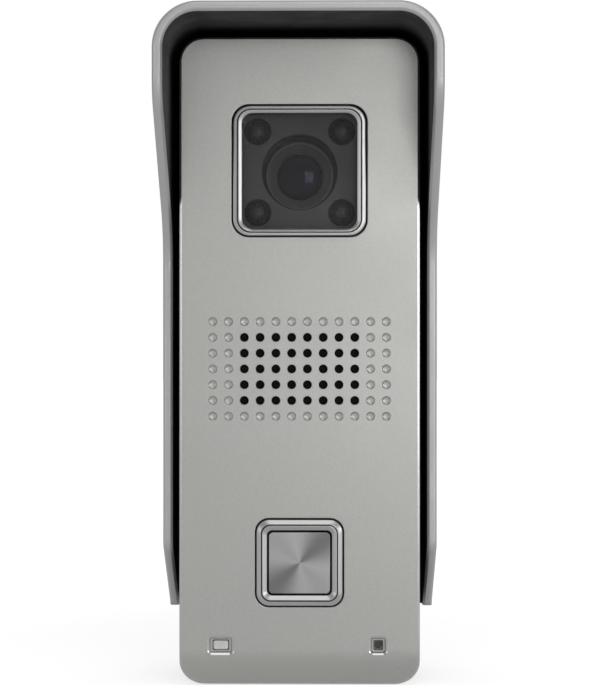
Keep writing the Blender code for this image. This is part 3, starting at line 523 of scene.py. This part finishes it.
def trim_ring(name, outer, inner, profile, centre, stands_for):
    """A trim between two rounded rectangles, with its groove painted black as painted shade.

    A rectangle is (width, height, corner radius). A profile point is (share of the way in, depth).
    """
    shell = Shell()
    rings = []
    for share, depth in profile:
        width, height, radius = (a + (b - a) * share for a, b in zip(outer, inner))
        rings.append(shell.ring(rounded(width, height, radius, centre), depth))
    # The groove's faces take the black paint, a painted shade line in the metal.
    shell.chain(rings, loop=True, second=PAINTED_SHADE_GROOVE_STEPS)
    dress(shell.build(name, [TRIM, BLACK], 30.0), BODY, [stands_for])


def turned(name, profile, centre, paint, stands_for, steps):
    """A piece turned about the Y direction. A profile point is (radius, depth).

    A profile that starts and ends at radius 0 is solid, and any other is closed into a tube.
    """
    shell = Shell()
    solid = profile[0][0] == 0
    curve = profile[1:-1] if solid else profile
    rings = [shell.ring(circle(radius, centre, steps), depth) for radius, depth in curve]
    shell.chain(rings, loop=not solid)
    if solid:
        shell.cone(rings[0], at(*centre, profile[0][1]))
        shell.cone(rings[-1], at(*centre, profile[-1][1]))
    dress(shell.build(name, [paint]), BODY, [stands_for])


def dome(radius, front, height):
    """Profile of a quarter ellipse from its tip outwards."""
    angles = [math.pi / 2 * k / 8 for k in range(9)]
    return [(radius * math.sin(a), front + height * (1 - math.cos(a))) for a in angles]


# ---------------------------------------------------------------- hood


HOOD_SIDE, HOOD_TOP, HOOD_RADIUS = 27.8, 68.7, 8.7
HOOD_WALL = 2.0
HOOD_BACK, HOOD_FLOOR, HOOD_FOOT = 29.0, 27.0, -52.0
EAVES = -22.0
CORNER_Z = HOOD_TOP - HOOD_RADIUS
DRAFT = 0.02  # how much the rear edge drops per mm of depth, at the hood's foot
CABLE = (0.0, -22.0)  # where the cable comes out of the wall
CABLE_WINDOW = (20.0, 16.0, 3.0, CABLE)
WALL_SLOTS = [(4.4, 9.0, 2.19, (0.0, z)) for z in (33.0, -48.0)]
PILOT_HOLES = [(1.3, (0.0, z)) for z in (12.0, -38.0)]


def side_curve():
    """The hood's front edge on its right side, bottom to top.

    A point is (depth, z, normal depth, normal z), and a corner is (depth, z, radius of its bend).
    """
    corners = [
        (24.2, HOOD_FOOT, 0.0), (5.0, -38.0, 3.0), (5.0, 25.5, 14.0), (EAVES, 50.5, 8.0),
        (EAVES, CORNER_Z, 0.0),
    ]
    points = [Vector(corners[0][:2])]
    for i in range(1, len(corners) - 1):
        here = Vector(corners[i][:2])
        radius = corners[i][2]
        before = (Vector(corners[i - 1][:2]) - here).normalized()
        after = (Vector(corners[i + 1][:2]) - here).normalized()
        half = before.angle(after) / 2
        centre = here + (before + after).normalized() * radius / math.sin(half)
        first = here + before * radius / math.tan(half) - centre
        last = here + after * radius / math.tan(half) - centre
        start = math.atan2(first.y, first.x)
        turn = (math.atan2(last.y, last.x) - start + math.pi) % TAU - math.pi
        steps = 12
        for k in range(steps + 1):
            angle = start + turn * k / steps
            points.append(centre + radius * Vector((math.cos(angle), math.sin(angle))))
    points.append(Vector(corners[-1][:2]))
    # The foot's normal is level, to keep its end flat, and a point close by keeps that local.
    points.insert(1, points[0].lerp(points[1], 0.06))
    curve = []
    for i, point in enumerate(points):
        step = points[min(i + 1, len(points) - 1)] - points[max(i - 1, 0)]
        step.normalize()
        inward = (1.0, 0.0) if i == 0 else (step.y, -step.x)
        curve.append((point.x, point.y, *inward))
    return curve


def hood_path():
    """The front edge from lower right over the top to lower left, with its inward directions."""
    half = [(HOOD_SIDE, z, -1.0, 0.0, depth, nd, nz) for depth, z, nd, nz in side_curve()]
    steps = 16
    for k in range(1, steps + 1):
        angle = math.pi / 2 * k / steps
        out = Vector((math.cos(angle), math.sin(angle)))
        spot = Vector((HOOD_SIDE - HOOD_RADIUS, CORNER_Z)) + HOOD_RADIUS * out
        half.append((spot.x, spot.y, -out.x, -out.y, EAVES, 1.0, 0.0))
    mirrored = [(-x, z, -mx, mz, depth, nd, nz) for x, z, mx, mz, depth, nd, nz in half[::-1]]
    return half + mirrored


def hood_shell():
    """Walls and rolled rim: silver outside and round the rim, black inside."""
    rim = [
        (0.0, 0.95), (0.05, 0.58), (0.19, 0.28), (0.42, 0.09), (0.72, 0.0), (1.4, 0.0),
        (1.52, 0.02), (1.6, 0.08), (1.93, 0.5), (HOOD_WALL, 0.62),
    ]
    wall_side = [(0.0, 28.6), (0.08, 28.85), (0.35, HOOD_BACK), (HOOD_WALL, HOOD_BACK)]
    path = hood_path()
    shell = Shell()
    rows = []
    for inset, setback in rim:
        row = []
        for x, z, mx, mz, depth, nd, nz in path:
            spot = at(x + mx * inset, z + mz * inset + nz * setback, depth + nd * setback)
            row.append(shell.bm.verts.new(spot))
        rows.append(row)
    rear = []
    for inset, back in wall_side:
        row = []
        for x, z, mx, mz, depth, nd, nz in path:
            lean = DRAFT * (HOOD_BACK - depth) * max(0.0, CORNER_Z - z) / (CORNER_Z - HOOD_FOOT)
            row.append(shell.bm.verts.new(at(x + mx * inset, z + mz * inset + lean, back)))
        rear.append(row)
    for near, far in zip(rows, rows[1:]):
        shell.join(near, far, closed=False)
    shell.join(rear[0], rows[0], closed=False)
    shell.join(rows[-1], rear[-1], 1, closed=False)
    for near, far in zip(rear, rear[1:]):
        shell.join(near, far, closed=False)
    for end in (0, -1):
        for row in rear:
            row[end].co.z = HOOD_FOOT * MM
        shell.cap([row[end] for row in [*rows, *rear[::-1]]])
    return shell.build("rain_hood_shell", [SILVER, BLACK_INSIDE])


def hood_back_outline():
    """The back plate, let half a wall into the walls, with its tongue below."""
    inset = HOOD_WALL / 2
    side, top, radius = HOOD_SIDE - inset, HOOD_TOP - inset, HOOD_RADIUS - inset
    tongue, foot, corner = 22.0, -62.0, 4.0
    shoulder = HOOD_FOOT + 0.1
    points = []
    for u, quarter in ((side - radius, 0), (-side + radius, 1)):
        points += arc_points(u, top - radius, radius, quarter, 12)
    points += [(-side, shoulder), (-tongue, shoulder)]
    for u, quarter in ((-tongue + corner, 2), (tongue - corner, 3)):
        points += arc_points(u, foot + corner, corner, quarter, 8)
    points += [(tongue, shoulder), (side, shoulder)]
    return points


def rain_hood():
    shell = Shell()
    outline = hood_back_outline()
    holes = [rounded(*hole, 8) for hole in (CABLE_WINDOW, *WALL_SLOTS)]
    holes += [circle(*hole) for hole in PILOT_HOLES]
    front, back = HOOD_FLOOR, HOOD_BACK - 0.02
    near, far = shell.ring(outline, front), shell.ring(outline, back)
    near_holes = [shell.ring(hole, front) for hole in holes]
    far_holes = [shell.ring(hole, back) for hole in holes]
    shell.fill(near, near_holes, paint=1)
    shell.fill(far, far_holes)
    shell.join(near, far)
    for a, b in zip(near_holes, far_holes):
        shell.join(a, b)
    plate = shell.build("hood_back", [SILVER, BLACK_INSIDE])
    hood = hood_shell()
    combine(hood, plate, "UNION")
    hood.name = "rain_hood_body"
    dress(hood, BODY, ["rain_hood"])


# ---------------------------------------------------------------- face plate


WIDTH, HEIGHT, CORNER = 48.2, 130.0, 5.0
PLATE_RIM = 9.0  # the depth of the plate's side walls
PLATE_BACK = 1.5  # the depth of the rear side of its front wall
WINDOW_CUT = (27.2, 26.6, 3.5)
BUTTON_CUT = (17.8, 17.8, 2.8)
ROLL_START, ROLL_DEPTH, ROLL_POWER = -57.7, 2.3, 2.3
PITCH = 3.16
COLUMNS, ROWS = 12, 7
DRILLED_COLUMNS, DRILLED_ROWS = 8, 5
DRILL_RADIUS = 0.88
POCKET_HEIGHT, POCKET_CORNER, POCKET_FLOOR = 3.7, 0.9, 0.88
# Place, width, and the width and height of the hole in its floor
POCKETS = ((LIGHT, 5.2, 3.3, 2.1), (VOICE, 3.6, 2.0, 2.1))
FILL_STEP = 0.45  # the spacing in Z of the points that shape the roll


def roll(z):
    """How far the front rolls back below the start of the roll."""
    share = max(0.0, ROLL_START - z) / (ROLL_START + HEIGHT / 2)
    return ROLL_DEPTH * share**ROLL_POWER


def plate_outline(inset):
    """The plate's outline, with extra points on its long sides where the roll begins."""
    outline = rounded(WIDTH - 2 * inset, HEIGHT - 2 * inset, CORNER - inset, arc=14)
    side = WIDTH / 2 - inset
    levels = [ROLL_START - 1.4, ROLL_START - 0.7, ROLL_START, ROLL_START + 3.0]
    half = len(outline) // 2
    right = [(side, z) for z in levels]
    left = [(-side, z) for z in levels[::-1]]
    return outline[:half] + right + outline[half:] + left


def speaker_grid():
    drilled, dimpled = [], []
    for i in range(COLUMNS):
        for j in range(ROWS):
            u, v = i - (COLUMNS - 1) / 2, j - (ROWS - 1) / 2
            spot = (SPEAKER[0] + u * PITCH, SPEAKER[1] + v * PITCH)
            inner = abs(u) < DRILLED_COLUMNS / 2 and abs(v) < DRILLED_ROWS / 2
            (drilled if inner else dimpled).append(spot)
    return drilled, dimpled


def through_hole(shell, outline_at, profile):
    """A hole through the front wall. A profile point is (growth, depth). Returns its end rings."""
    rings = [shell.ring(outline_at(grow), depth) for grow, depth in profile]
    shell.chain(rings)
    return rings[0], rings[-1]


def cut_outline(size, centre):
    """The outline of a rounded cut in the plate, as a function of its growth."""
    width, height, corner = size
    return lambda grow: rounded(width + 2 * grow, height + 2 * grow, corner + grow, centre)


def dimple(shell, spot):
    """A blind hole with a round floor. Returns its front ring."""
    profile = [(0.93, 0.0), (0.885, 0.025), (0.85, 0.1), (0.8, 0.26), (0.66, 0.4), (0.4, 0.475)]
    rings = [shell.ring(circle(radius, spot), depth) for radius, depth in profile]
    shell.chain(rings)
    shell.cone(rings[-1], at(*spot, 0.5))
    return rings[0]


def pocket(shell, spot, width, hole_width, hole_height):
    """A shallow pocket with bright slopes and a hole in its floor. Returns its end rings."""
    profile = [
        (0.1, 0.0), (0.04, 0.025), (-0.32, 0.24), (-0.38, 0.32), (-0.5, 0.78), (-0.56, 0.85),
        (-0.66, POCKET_FLOOR),
    ]
    rings = []
    for grow, depth in profile:
        corner = max(0.25, POCKET_CORNER + grow)
        outline = rounded(width + 2 * grow, POCKET_HEIGHT + 2 * grow, corner, spot, 6)
        rings.append(shell.ring(outline, depth))
    shell.chain(rings, second=range(3))
    hole = rounded(hole_width, hole_height, 0.35, spot, 6)
    hole_rings = [shell.ring(hole, depth) for depth in (POCKET_FLOOR, 1.0, PLATE_BACK)]
    shell.chain(hole_rings)
    shell.fill(rings[-1], [hole_rings[0]])
    return rings[0], hole_rings[-1]


def roll_points():
    """Points inside the plate's front that let it follow the roll, clear of the two pockets."""
    levels = [ROLL_START - FILL_STEP * k for k in range(16)]
    reach = WIDTH / 2 - CORNER - 0.5
    points = [(reach * k / 9, z) for z in levels for k in range(-9, 10)]
    for side in (-1, 1):
        points += [(side * (WIDTH / 2 - 1.6), z) for z in levels[:5]]
        points += [(side * (WIDTH / 2 - 3.2), z) for z in levels[:9]]

    beside, above, foot = 3.0, 2.2, 0.95  # clearances round a pocket, and from the plate's foot

    def clear(x, z):
        away = [abs(x - u) > beside or abs(z - v) > above for u, v in (LIGHT, VOICE)]
        return all(away) and z > foot - HEIGHT / 2

    return [point for point in points if clear(*point)]


def face_plate():
    """Thin cover with a bright cut edge. Its front is pierced, dimpled and rolled back below."""
    shell = Shell()
    edge = [
        (0.48, 0.0), (0.43, 0.015), (0.08, 0.18), (0.03, 0.25), (0.005, 0.34), (0.0, 0.5),
        (0.0, 8.72), (0.06, 8.9), (0.22, PLATE_RIM), (1.28, PLATE_RIM), (1.44, 8.9), (1.5, 8.72),
        (1.5, 1.9), (1.56, 1.64), (1.72, PLATE_BACK),
    ]
    rings = [shell.ring(plate_outline(inset), depth) for inset, depth in edge]
    shell.chain(rings, second=range(5))

    window_cut = [(0.16, 0.0), (0.07, 0.02), (0.015, 0.08), (0.0, 0.18), (0.0, PLATE_BACK)]
    drill_cut = [(0.07, 0.0), (0.02, 0.03), (0.0, 0.09), (0.0, PLATE_BACK)]
    drilled, dimpled = speaker_grid()
    holes = [
        through_hole(shell, cut_outline(WINDOW_CUT, CAMERA), window_cut),
        through_hole(shell, cut_outline(BUTTON_CUT, CALL), window_cut),
    ]
    for spot in drilled:
        holes.append(through_hole(shell, lambda grow: circle(DRILL_RADIUS + grow, spot), drill_cut))
    front_holes = [front for front, back in holes]
    front_holes += [dimple(shell, spot) for spot in dimpled]
    pockets = [pocket(shell, *each) for each in POCKETS]
    front_holes += [front for front, back in pockets]
    back_holes = [back for front, back in holes + pockets]
    shell.fill(rings[0], front_holes, [at(x, z, 0.0) for x, z in roll_points()])
    shell.fill(rings[-1], back_holes)
    for vert in shell.bm.verts:
        depth = (vert.co.y - FACE) / MM
        share = max(0.0, 1 - depth / PLATE_RIM)
        vert.co.y += roll(vert.co.z / MM) * share * MM
    piece = shell.build("face_plate_cover", [SATIN, CUT_EDGE], 32.0)
    dress(piece, BODY, ["face_plate"])


TRAY_FLOOR, TRAY_BACK = 23.1, 24.6
SCREW_DEPTH = 21.5


def post(name, radius, low, top, flat):
    """A cylinder along Z round the bottom screw's axis, its depth scaled by flat."""
    shell = Shell()
    spots = [(x * MM, FACE + (SCREW_DEPTH + y * flat) * MM) for x, y in circle(radius, steps=40)]
    shell.close([[shell.bm.verts.new((x, y, z * MM)) for x, y in spots] for z in (low, top)])
    return shell.build(name, [BLACK])


def rear_housing():
    """Tray behind the face plate, with the recess for the screw under it."""
    shell = Shell()
    wall = [
        (1.5, 10.65), (1.38, 10.46), (1.2, 10.4), (0.3, 10.4), (0.1, 10.48), (0.0, 10.7),
        (0.0, 23.5), (0.1, 24.05), (0.4, 24.45), (0.9, TRAY_BACK),
    ]
    rings = shell.plate_rings((WIDTH, HEIGHT), CORNER, wall)
    shell.chain(rings)
    floor = shell.plate_rings((WIDTH, HEIGHT), CORNER, [(1.5, TRAY_FLOOR)])[0]
    shell.join(rings[0], floor)
    cable_hole = circle(5.0, CABLE, 40)
    hook_slots = [rounded(4.8, 5.2, 0.4, (side * 15.5, 42.4), 4) for side in (-1, 1)]
    tab_slot = rounded(12.8, 2.4, 0.4, (0.0, -58.5), 4)
    holes = [cable_hole, *hook_slots, tab_slot]
    near = [shell.ring(hole, TRAY_FLOOR) for hole in holes]
    far = [shell.ring(hole, TRAY_BACK) for hole in holes]
    shell.fill(floor, near)
    shell.fill(rings[-1], far)
    for a, b in zip(near, far):
        shell.join(a, b)
    housing = shell.build("rear_housing_tray", [BLACK])
    combine(housing, post("boss", 4.2, -64.6, -60.6, 0.72), "UNION")
    combine(housing, post("recess", 3.0, -66.0, -63.0, 1.0), "DIFFERENCE")
    dress(housing, BODY, ["rear_housing"])


def seal():
    """Cord of rubber between the face plate and the housing."""
    shell = Shell()
    profile = [(0.2, 9.3), (0.1, 9.45), (0.1, 9.95), (0.2, 10.1), (1.3, 10.1), (1.3, 9.3)]
    shell.chain(shell.plate_rings((WIDTH, HEIGHT), CORNER, profile), loop=True)
    dress(shell.build("housing_seal", [RUBBER]), BODY, ["housing_gasket"])


# ---------------------------------------------------------------- camera


# These steps are painted black as painted shade in the groove.
PAINTED_SHADE_GROOVE_STEPS = (6, 7, 8)  # the steps of both trims' profiles that make their fine groove


def camera_bezel():
    """Flat land, a fine groove, then a bevel down to the window."""
    profile = [
        (0.0, 1.7), (0.0, 0.06), (0.025, -0.07), (0.08, -0.15), (0.16, -0.18), (0.4, -0.2),
        (0.425, -0.15), (0.435, 0.1), (0.555, 0.1), (0.565, -0.15), (0.59, -0.2), (0.66, -0.2),
        (0.72, -0.17), (0.955, 0.07), (0.99, 0.12), (1.0, 0.22), (1.0, 1.7),
    ]
    trim_ring("camera_trim", (26.6, 26.0, 3.3), (23.1, 23.2, 2.2), profile, CAMERA, "camera_bezel")


def camera_mask():
    """Dark carrier plate with the lens funnel and four lamp holes."""
    front, back = 3.5, 4.7
    width, height, corner = 28.4, 27.6, 3.0
    funnel, lamp_hole = 7.65, 2.75
    shell = Shell()
    profile = [(0.3, back), (0.0, back - 0.1), (0.0, front + 0.1), (0.3, front)]
    rings = []
    for inset, depth in profile:
        outline = rounded(width - 2 * inset, height - 2 * inset, corner, CAMERA, 6)
        rings.append(shell.ring(outline, depth))
    shell.chain(rings)
    near, far = [], []
    for spot, radius, steps in [(CAMERA, funnel, 64)] + [(spot, lamp_hole, 36) for spot in LAMPS]:
        cut = [(0.12, front), (0.04, front + 0.03), (0.0, front + 0.12), (0.0, back)]
        made = [shell.ring(circle(radius + grow, spot, steps), depth) for grow, depth in cut]
        shell.chain(made)
        near.append(made[0])
        far.append(made[-1])
    shell.fill(rings[-1], near)
    shell.fill(rings[0], far)
    dress(shell.build("camera_carrier", [MASK]), BODY, ["camera_mask"])


def lamps():
    """Four 5 mm lamps: a half sphere, a straight body and a collar."""
    radius, collar, front, foot = 2.4, 2.65, 3.5, 9.3
    body = [(radius, 8.35), (collar, 8.4), (collar, 9.2), (2.55, foot), (0.0, foot)]
    for number, spot in enumerate(LAMPS, 1):
        profile = dome(radius, front, radius) + body
        turned(f"ir_lamp_{number}", profile, spot, RESIN, f"ir_led_{number}", 36)


def lens():
    """Ridged mouth, seat ring and outer barrel; the front element sits deep inside."""
    outside = [
        (6.5, 5.0), (6.82, 5.06), (6.9, 5.25), (6.9, 9.0), (5.9, 9.0), (5.9, 14.6), (3.0, 14.6),
        (3.0, 8.7),
    ]
    seat = [(4.9, 8.7), (4.9, 7.3)]
    radius, depth = 5.05, 7.2
    ridges = [(radius, depth)]
    for _ in range(4):
        ridges.append((radius + 0.06, depth - 0.3))
        radius += 0.3
        depth -= 0.42
        ridges.append((radius, depth))
    profile = [*outside, *seat, *ridges, (6.32, 5.08)]
    turned("lens_body", profile, LENS, BARREL, "lens_barrel", 64)
    glass, back = 4.6, 8.4
    profile = dome(glass, 7.0, 1.0) + [(glass, back), (0.0, back)]
    turned("front_element", profile, LENS, GLASS, "lens_front_glass", 64)


# ---------------------------------------------------------------- call button


def button_bezel():
    """Raised ring: a bevel that faces out, a hairline step, and a bevel that faces the cap."""
    profile = [
        (0.0, 1.7), (0.0, -0.2), (0.02, -0.3), (0.07, -0.38), (0.38, -0.76), (0.41, -0.77),
        (0.425, -0.72), (0.43, -0.5), (0.505, -0.5), (0.51, -0.8), (0.53, -0.88), (0.58, -0.9),
        (0.64, -0.84), (0.94, -0.46), (0.98, -0.38), (1.0, -0.26), (1.0, 1.7),
    ]
    trim_ring("button_trim", (17.2, 17.2, 2.5), (12.9, 12.9, 1.05), profile, CALL, "button_bezel")


def button_cap():
    """Square cap with a flat face, closed by a fan so that its rings stay even."""
    width, corner, front = 12.25, 0.8, -0.6
    shell = Shell()
    profile = [(0.14, front), (0.06, -0.575), (0.015, -0.52), (0.0, -0.44), (0.0, 1.1), (0.1, 1.2)]
    rings = shell.plate_rings((width, width), corner, profile, CALL, 8)
    shell.chain(rings)
    shell.cone(rings[0], at(*CALL, front))
    shell.cap(rings[-1])
    dress(shell.build("button_face", [SPUN]), BUTTON, ["button_cap"])


def return_spring():
    """Fine-wire coil behind the button. It rests on the guide."""
    wire, radius, front, back = 0.17, 3.3, 4.6, 8.3
    turns, steps, sides, travel = 4.5, 30, 8, 1.0
    shell = Shell()
    total = int(turns * steps)
    rings = []
    for k in range(total + 1):
        share = k / total
        angle = TAU * turns * share
        depth = front + wire + (back - front - 2 * wire) * share
        ring = []
        for i in range(sides):
            around = TAU * i / sides
            reach = radius + wire * math.cos(around)
            spot = (CALL[0] + reach * math.cos(angle), CALL[1] + reach * math.sin(angle))
            ring.append(shell.bm.verts.new(at(*spot, depth + wire * math.sin(around))))
        rings.append(ring)
    shell.close(rings)
    coil = shell.build("return_spring_coil", [STEEL])
    dress(coil, BODY, ["button_return_spring"])
    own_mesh(coil)


def light_pipe():
    """Domed rectangular lens in its pocket, with a round stem down to the lamp on the board."""
    width, height, corner = 3.0, 1.8, 0.4
    stem, stem_front, stem_back = 1.5, 2.4, 13.6
    shell = Shell()
    profile = [(0.45, 0.42), (0.25, 0.45), (0.1, 0.52), (0.02, 0.64), (0.0, 0.8), (0.0, stem_front)]
    rings = []
    for inset, depth in profile:
        outline = rounded(width - 2 * inset, height - 2 * inset, corner - 0.6 * inset, LIGHT, 6)
        rings.append(shell.ring(outline, depth))
    shell.close(rings)
    shell.close([shell.ring(circle(stem, LIGHT), depth) for depth in (stem_front, stem_back)])
    dress(shell.build("indicator_pipe", [MILKY]), BODY, ["indicator_light_pipe"])


# ---------------------------------------------------------------- carried-over nodes


def finish_nodes():
    """Every CAD node that stays gets its finish."""
    finishes = {
        WINDOW: ["camera_window"],
        WIRE: ["speaker_mesh"],
        RUBBER: ["cable_grommet", "window_seal", "speaker_gasket"],
        GREY_RUBBER: ["microphone_boot", "microphone_capsule"],
        GREEN: ["camera_board", "main_board"],
        DARK_BOARD: ["ir_led_board"],
        MASK: ["image_sensor"],
        FILM: ["speaker_cone"],
        MAGNET: ["speaker_magnet"],
        MILKY: ["switch_plunger", "indicator_led"],
        BLACK: [
            "lens_holder", "speaker_frame", "terminal_block", "button_carrier", "button_guide",
            "switch_body",
        ],
    }
    chosen = {node: paint for paint, nodes in finishes.items() for node in nodes}
    for name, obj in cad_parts.items():
        for slot in obj.material_slots:
            slot.material = chosen.get(name, STEEL)


# ---------------------------------------------------------------- stage


FLOOR_SIZE, FLOOR_GAP = 3.0, 0.0005  # metres, from its middle to an edge and below the object

# Name, place in metres, width in metres, power in watts
STUDIO_LIGHTS = (
    ("right", (1.0, -0.8, 0.15), 0.45, 1.7),
    ("left", (-1.0, -0.9, 0.15), 0.4, 0.75),
    ("top", (0.1, -0.8, 1.0), 0.8, 1.9),
    ("front", (0.26, -1.2, 0.13), 0.3, 1.0),
)


def face_towards(obj, target):
    """Turns a light or a camera to a point."""
    obj.rotation_euler = (target - obj.location).to_track_quat("-Z", "Y").to_euler()


def floor():
    """Pale floor that fades to white away from the object."""
    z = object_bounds()[0][2] - FLOOR_GAP
    size = FLOOR_SIZE
    mesh = bpy.data.meshes.new("floor")
    corners = [(-size, -size, z), (size, -size, z), (size, size, z), (-size, size, z)]
    mesh.from_pydata(corners, [], [(0, 1, 2, 3)])
    paint = Paint("floor_paint", Roughness=0.9)
    paint.set("Emission Color", (1.0, 1.0, 1.0))
    seen = paint.add("ShaderNodeLightPath").outputs["Is Camera Ray"]
    away = paint.add("ShaderNodeVectorMath", {0: paint.place}, operation="LENGTH").outputs["Value"]
    glow = paint.span(away, 0.68, 1.0, 0.1, 0.5)
    paint.set("Emission Strength", paint.math("MAXIMUM", paint.math("MULTIPLY", seen, glow), 0.12))
    tone = paint.span(paint.noise(60.0), 0.78, 0.8)
    colour = paint.add("ShaderNodeCombineColor", {0: tone, 1: tone, 2: tone}).outputs[0]
    paint.set("Base Color", colour)
    mesh.materials.append(paint.material)
    link(bpy.data.objects.new("floor", mesh))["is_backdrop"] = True


def surroundings():
    """White behind the object, and a soft even light on it."""
    world = bpy.data.worlds.new("studio")
    bpy.context.scene.world = world
    world.use_nodes = True
    nodes, links = world.node_tree.nodes, world.node_tree.links
    soft = nodes["Background"]
    plain = nodes.new("ShaderNodeBackground")
    for shader, strength in ((soft, 0.32), (plain, 1.0)):
        shader.inputs["Color"].default_value = (1.0, 1.0, 1.0, 1.0)
        shader.inputs["Strength"].default_value = strength
    rays = nodes.new("ShaderNodeLightPath")
    mix = nodes.new("ShaderNodeMixShader")
    links.new(rays.outputs["Is Camera Ray"], mix.inputs[0])
    links.new(soft.outputs[0], mix.inputs[1])
    links.new(plain.outputs[0], mix.inputs[2])
    links.new(mix.outputs[0], nodes["World Output"].inputs["Surface"])


def studio_lights():
    for name, place, size, power in STUDIO_LIGHTS:
        light = bpy.data.lights.new(name, "AREA")
        light.shape = "SQUARE"
        light.size = size
        light.energy = power
        obj = link(bpy.data.objects.new(name, light))
        obj.location = place
        face_towards(obj, Vector((0.0, FACE, 0.0)))


def camera():
    """Front view from 0.4 m, as in the photo."""
    data = bpy.data.cameras.new("camera")
    data.lens = 105.0
    data.sensor_width = 36.0
    data.clip_start = 0.01
    obj = link(bpy.data.objects.new("camera", data))
    obj.location = (0.005, FACE - 0.4, 0.0045)
    face_towards(obj, Vector((0.0, FACE, 0.0038)))
    bpy.context.scene.camera = obj
    bpy.context.scene.view_settings.view_transform = "Standard"


finish_nodes()
rain_hood()
face_plate()
rear_housing()
seal()
camera_bezel()
camera_mask()
lamps()
lens()
button_bezel()
button_cap()
light_pipe()
return_spring()
floor()
surroundings()
studio_lights()
camera()
